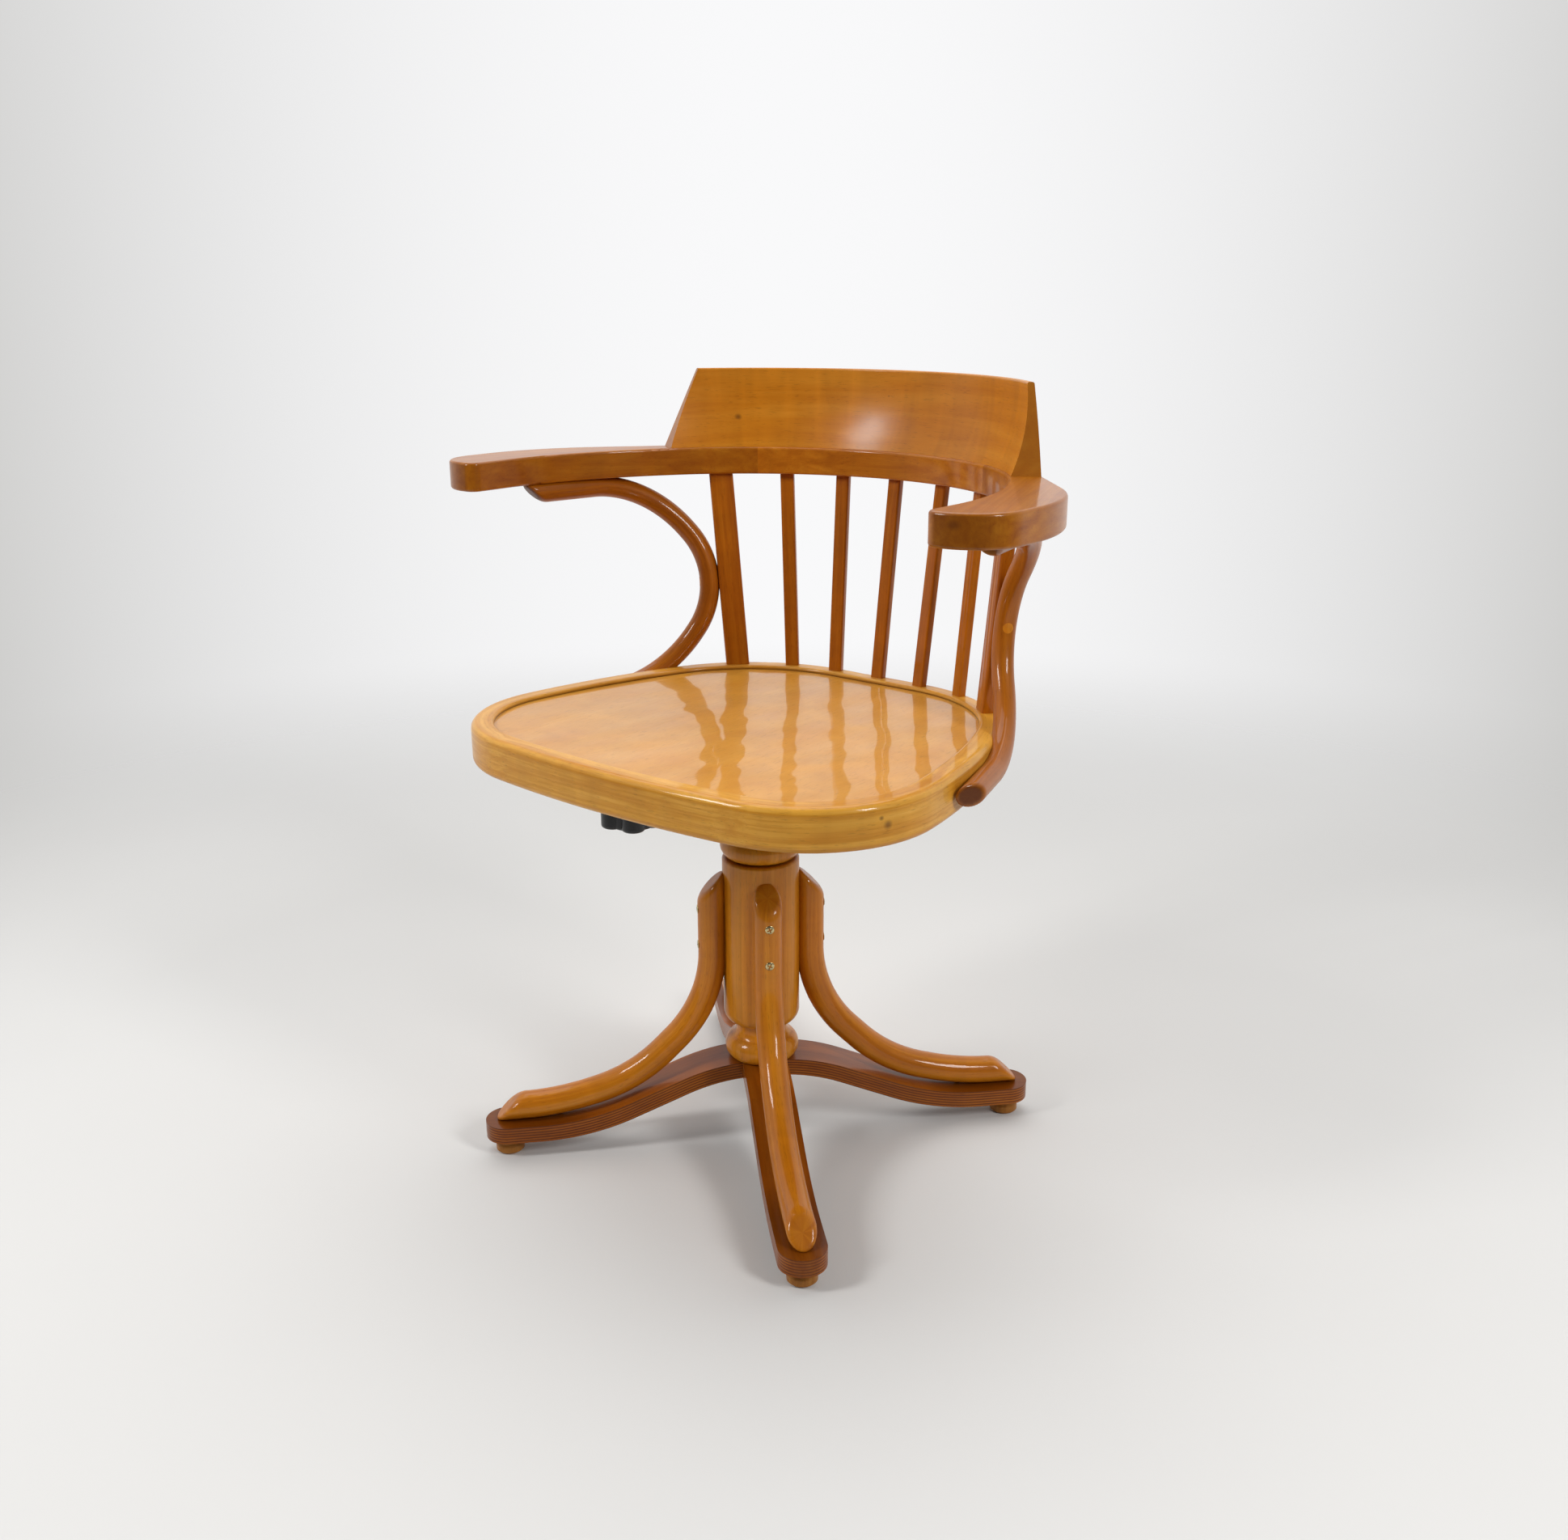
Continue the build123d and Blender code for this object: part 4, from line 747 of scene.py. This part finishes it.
slatPlan = {
    "widthMm": 15.0, "depthMm": 9.0, "roundMm": 2.0, "sinkMm": 3.0, "lowMm": 463.5, "highMm": 676.5,
    "footRadiusMm": 560.0, "footStep": 5.7, "footCentreMm": -354.6,
    "topRadiusMm": 266.0, "topStep": 13.9, "topCentreMm": -33.0}
postPlan = {
    "widthMm": 26.0, "depthMm": 14.0, "roundMm": 3.0, "sinkMm": 3.0, "footMm": (163.8, 160.8),
    "bearing": 43.7}


# A point on the line of feet or the line of tops, by its bearing.
def backSpot(line, bearing, height):
    radius, centre = slatPlan[line + "RadiusMm"], slatPlan[line + "CentreMm"]
    return radius * sin(bearing), centre + radius * cos(bearing), height


slatMarks = []
for i in range(-2, 3):
    low, high = radians(slatPlan["footStep"] * i), radians(slatPlan["topStep"] * i)
    foot = backSpot("foot", low, slatPlan["lowMm"])
    top = backSpot("top", high, slatPlan["highMm"])
    wide = (cos(high), -sin(high), 0)
    slatMarks.append(stickMark(foot, top, wide, slatPlan["sinkMm"], 0.6 * i))
postMarks = []
for side in (1, -1):
    turn = radians(postPlan["bearing"] * side)
    foot = (postPlan["footMm"][0] * side, postPlan["footMm"][1], slatPlan["lowMm"])
    top = backSpot("top", turn, slatPlan["highMm"])
    wide = (cos(turn), -sin(turn), 0)
    postMarks.append(stickMark(foot, top, wide, postPlan["sinkMm"], 3.0 + side))
uprightTree = stickTree()
stickSets = (("backSlats", slatMarks, slatPlan, [f"slat_{i}" for i in range(1, 6)]),
             ("backPosts", postMarks, postPlan, ["post_left", "post_right"]))
for pieceName, marks, plan, names in stickSets:
    piece = withTree(pieceName, markedPoints(pieceName, marks), uprightTree, {
        "Width": plan["widthMm"] * mm, "Depth": plan["depthMm"] * mm,
        "Corner Round": plan["roundMm"] * mm, "Material": stickBeech})
    smoothed(piece.data, 40)
    settle(piece, "seat", names)
print("slats and posts made")


# Cross-recess screws: a low domed head with the cross cut out of it, set on points facing outward.
def crossScrewTree():
    tree, given = shapeTree("crossScrew", (
        "Head Diameter", "Dome", "Recess Length", "Recess Width", "Recess Depth"))

    def joined(x, y, z):
        return addNode(tree, "ShaderNodeCombineXYZ", {0: x, 1: y, 2: z}).outputs[0]

    radius = sums(tree, "MULTIPLY", given["Head Diameter"], 0.5)
    squeeze = sums(tree, "DIVIDE", given["Dome"], radius)
    ball = addNode(tree, "GeometryNodeMeshUVSphere", {
        "Segments": 40, "Rings": 24, "Radius": radius}).outputs[0]
    head = addNode(tree, "GeometryNodeTransform", {
        "Geometry": ball, "Scale": joined(1.0, 1.0, squeeze)}).outputs[0]
    deep = sums(tree, "MULTIPLY", given["Recess Depth"], 2.0)
    lift = joined(0.0, 0.0, given["Dome"])
    cut = addNode(tree, "GeometryNodeMeshBoolean", {"Mesh 1": head}, operation="DIFFERENCE",
                  solver="EXACT")
    for x, y in (("Recess Length", "Recess Width"), ("Recess Width", "Recess Length")):
        block = addNode(tree, "GeometryNodeMeshCube", {
            "Size": joined(given[x], given[y], deep)}).outputs[0]
        slot = addNode(tree, "GeometryNodeTransform", {
            "Geometry": block, "Translation": lift}).outputs[0]
        tree.links.new(slot, cut.inputs["Mesh 2"])
    turn = addNode(tree, "FunctionNodeEulerToRotation", {
        0: named(tree, "turn", "FLOAT_VECTOR")}).outputs[0]
    placed = addNode(tree, "GeometryNodeInstanceOnPoints", {
        "Points": given["Geometry"], "Instance": cut.outputs[0], "Rotation": turn}).outputs[0]
    closeTree(tree, placed, given["Material"])
    return tree


screwPlan = {
    "headMm": 9.0, "domeMm": 0.9, "radiusMm": 66.0, "heightsMm": (261.5, 222.0),
    "recessMm": (5.6, 1.3, 1.8), "twists": (20, 64, 5, 41, 77, 33, 52, 14)}
screwMarks = []
for i, twistDegrees in enumerate(screwPlan["twists"]):
    turn, twist = radians(legBearing + 90 * (i // 2)), radians(twistDegrees)
    out = Vector((cos(turn), sin(turn), 0))
    across = Vector((-sin(turn), cos(turn), 0)) * cos(twist) + Vector((0, 0, 1)) * sin(twist)
    middle = Vector((0, swivelY, screwPlan["heightsMm"][i % 2] * mm))
    at = out * screwPlan["radiusMm"] * mm + middle
    screwMarks.append({"at": at, "turn": facing(out, across)})
recess = [size * mm for size in screwPlan["recessMm"]]
screwPoints = markedPoints("legScrewHeads", screwMarks)
legScrews = withTree("legScrewHeads", screwPoints, crossScrewTree(), {
    "Head Diameter": screwPlan["headMm"] * mm, "Dome": screwPlan["domeMm"] * mm,
    "Recess Length": recess[0], "Recess Width": recess[1], "Recess Depth": recess[2],
    "Material": passivatedSteel})
smoothed(legScrews.data, 35)
settle(legScrews, "base", ["leg_column_screws"])
print("screw heads made")

# Stage: a pale paper floor that fades into a lit backdrop, soft lights, and the camera.
stagePlan = {
    "paper": "#d6d5d3", "backdrop": "#f9f9fa", "backdropEdge": "#bcbbb8",
    "litSide": (-0.6225, 0.7826, 0.0),  # the lit middle of the backdrop lies this way
    "floorRadius": 14, "floorSides": 48, "fadeFrom": 0.9, "fadeTo": 2.4}


# The backdrop is brightest in its middle and falls off to both sides.
def backdropTone(tree, heading):
    flat = vectors(tree, "NORMALIZE", vectors(tree, "MULTIPLY", heading, (1.0, 1.0, 0.0)))
    toward = vectors(tree, "DOT_PRODUCT", flat, stagePlan["litSide"])
    lit = ranged(tree, toward, 0.84, 1.0)
    edge, middle = linear(stagePlan["backdropEdge"]), linear(stagePlan["backdrop"])
    return toward, mixed(tree, lit, edge, middle)


paper = bpy.data.materials.new("palePaperSweep")
paper.use_nodes = True
tree = paper.node_tree
tree.nodes.clear()
place = addNode(tree, "ShaderNodeTexCoord").outputs["Object"]
tone = ranged(tree, noise(tree, place, 3.0, 2.0), 0.0, 1.0, 0.985, 1.015)
matte = vectors(tree, "MULTIPLY", linear(stagePlan["paper"])[:3], tone)
near = addNode(tree, "ShaderNodeBsdfDiffuse", {"Color": matte}).outputs[0]
# lets the backdrop through, so no horizon shows
far = addNode(tree, "ShaderNodeBsdfTransparent").outputs[0]
away = vectors(tree, "LENGTH", place)
fade = ranged(tree, away, stagePlan["fadeFrom"], stagePlan["fadeTo"],
              interpolation_type="SMOOTHSTEP")
both = addNode(tree, "ShaderNodeMixShader", {0: fade, 1: near, 2: far}).outputs[0]
addNode(tree, "ShaderNodeOutputMaterial", {0: both})
floorMesh = bpy.data.meshes.new("paperFloor")
floorTurns = [2 * pi * k / stagePlan["floorSides"] for k in range(stagePlan["floorSides"])]
floorSpots = [(stagePlan["floorRadius"] * cos(t), stagePlan["floorRadius"] * sin(t), 0)
              for t in floorTurns]
floorMesh.from_pydata(floorSpots, [], [list(range(len(floorSpots)))])
floorMesh.materials.append(paper)
paperFloor = bpy.data.objects.new("paperFloor", floorMesh)
bpy.context.scene.collection.objects.link(paperFloor)

world = bpy.data.worlds.new("paleRoom")
bpy.context.scene.world = world
world.use_nodes = True
tree = world.node_tree
tree.nodes.clear()
seen = addNode(tree, "ShaderNodeLightPath").outputs["Is Camera Ray"]
toward, wall = backdropTone(tree, addNode(tree, "ShaderNodeTexCoord").outputs["Generated"])
# dim studio in front of the chair, bright sweep behind it
room = ranged(tree, toward, -0.5, 0.5, 0.08, 0.95, interpolation_type="SMOOTHSTEP")
dim = addNode(tree, "ShaderNodeBackground", {
    "Color": (1.0, 1.0, 1.0, 1.0), "Strength": room}).outputs[0]
pale = addNode(tree, "ShaderNodeBackground", {"Color": wall, "Strength": 1.0}).outputs[0]
sky = addNode(tree, "ShaderNodeMixShader", {0: seen, 1: dim, 2: pale}).outputs[0]
addNode(tree, "ShaderNodeOutputWorld", {0: sky})

lightAim = Vector((0, 0, 0.45))
lightPlan = {
    "topSoft": {"at": (-0.5, 0.5, 2.4), "size": (2.0, 2.0), "watts": 22.0},
    "leftBox": {"at": (-1.0, -1.9, 1.9), "size": (0.5, 0.8), "watts": 30.0},
    "rightBox": {"at": (2.2, -0.2, 1.7), "size": (0.5, 0.8), "watts": 30.0}}
for name, plan in lightPlan.items():
    lamp = bpy.data.lights.new(name, "AREA")
    lamp.shape, lamp.energy = "RECTANGLE", plan["watts"]
    lamp.size, lamp.size_y = plan["size"]
    holder = bpy.data.objects.new(name, lamp)
    holder.location = plan["at"]
    holder.rotation_euler = (lightAim - Vector(plan["at"])).to_track_quat("-Z", "Y").to_euler()
    bpy.context.scene.collection.objects.link(holder)

cameraPlan = {
    "at": (0.93688, -1.1499, 0.87703), "azimuth": 38.506, "down": 17.645, "roll": -0.15,
    "lensMm": 35.25, "sensorMm": 36.0, "clip": (0.05, 60.0)}
lens = bpy.data.cameras.new("photoCamera")
lens.sensor_fit, lens.sensor_width = "HORIZONTAL", cameraPlan["sensorMm"]
lens.lens = cameraPlan["lensMm"]
lens.clip_start, lens.clip_end = cameraPlan["clip"]
photoCamera = bpy.data.objects.new("photoCamera", lens)
photoCamera.location = cameraPlan["at"]
aim = Matrix.Rotation(radians(cameraPlan["azimuth"]), 3, "Z")
aim = aim @ Matrix.Rotation(radians(90 - cameraPlan["down"]), 3, "X")
aim = aim @ Matrix.Rotation(radians(cameraPlan["roll"]), 3, "Z")
photoCamera.rotation_euler = aim.to_euler()
bpy.context.scene.collection.objects.link(photoCamera)
bpy.context.scene.camera = photoCamera
bpy.context.scene.view_settings.view_transform = "Standard"
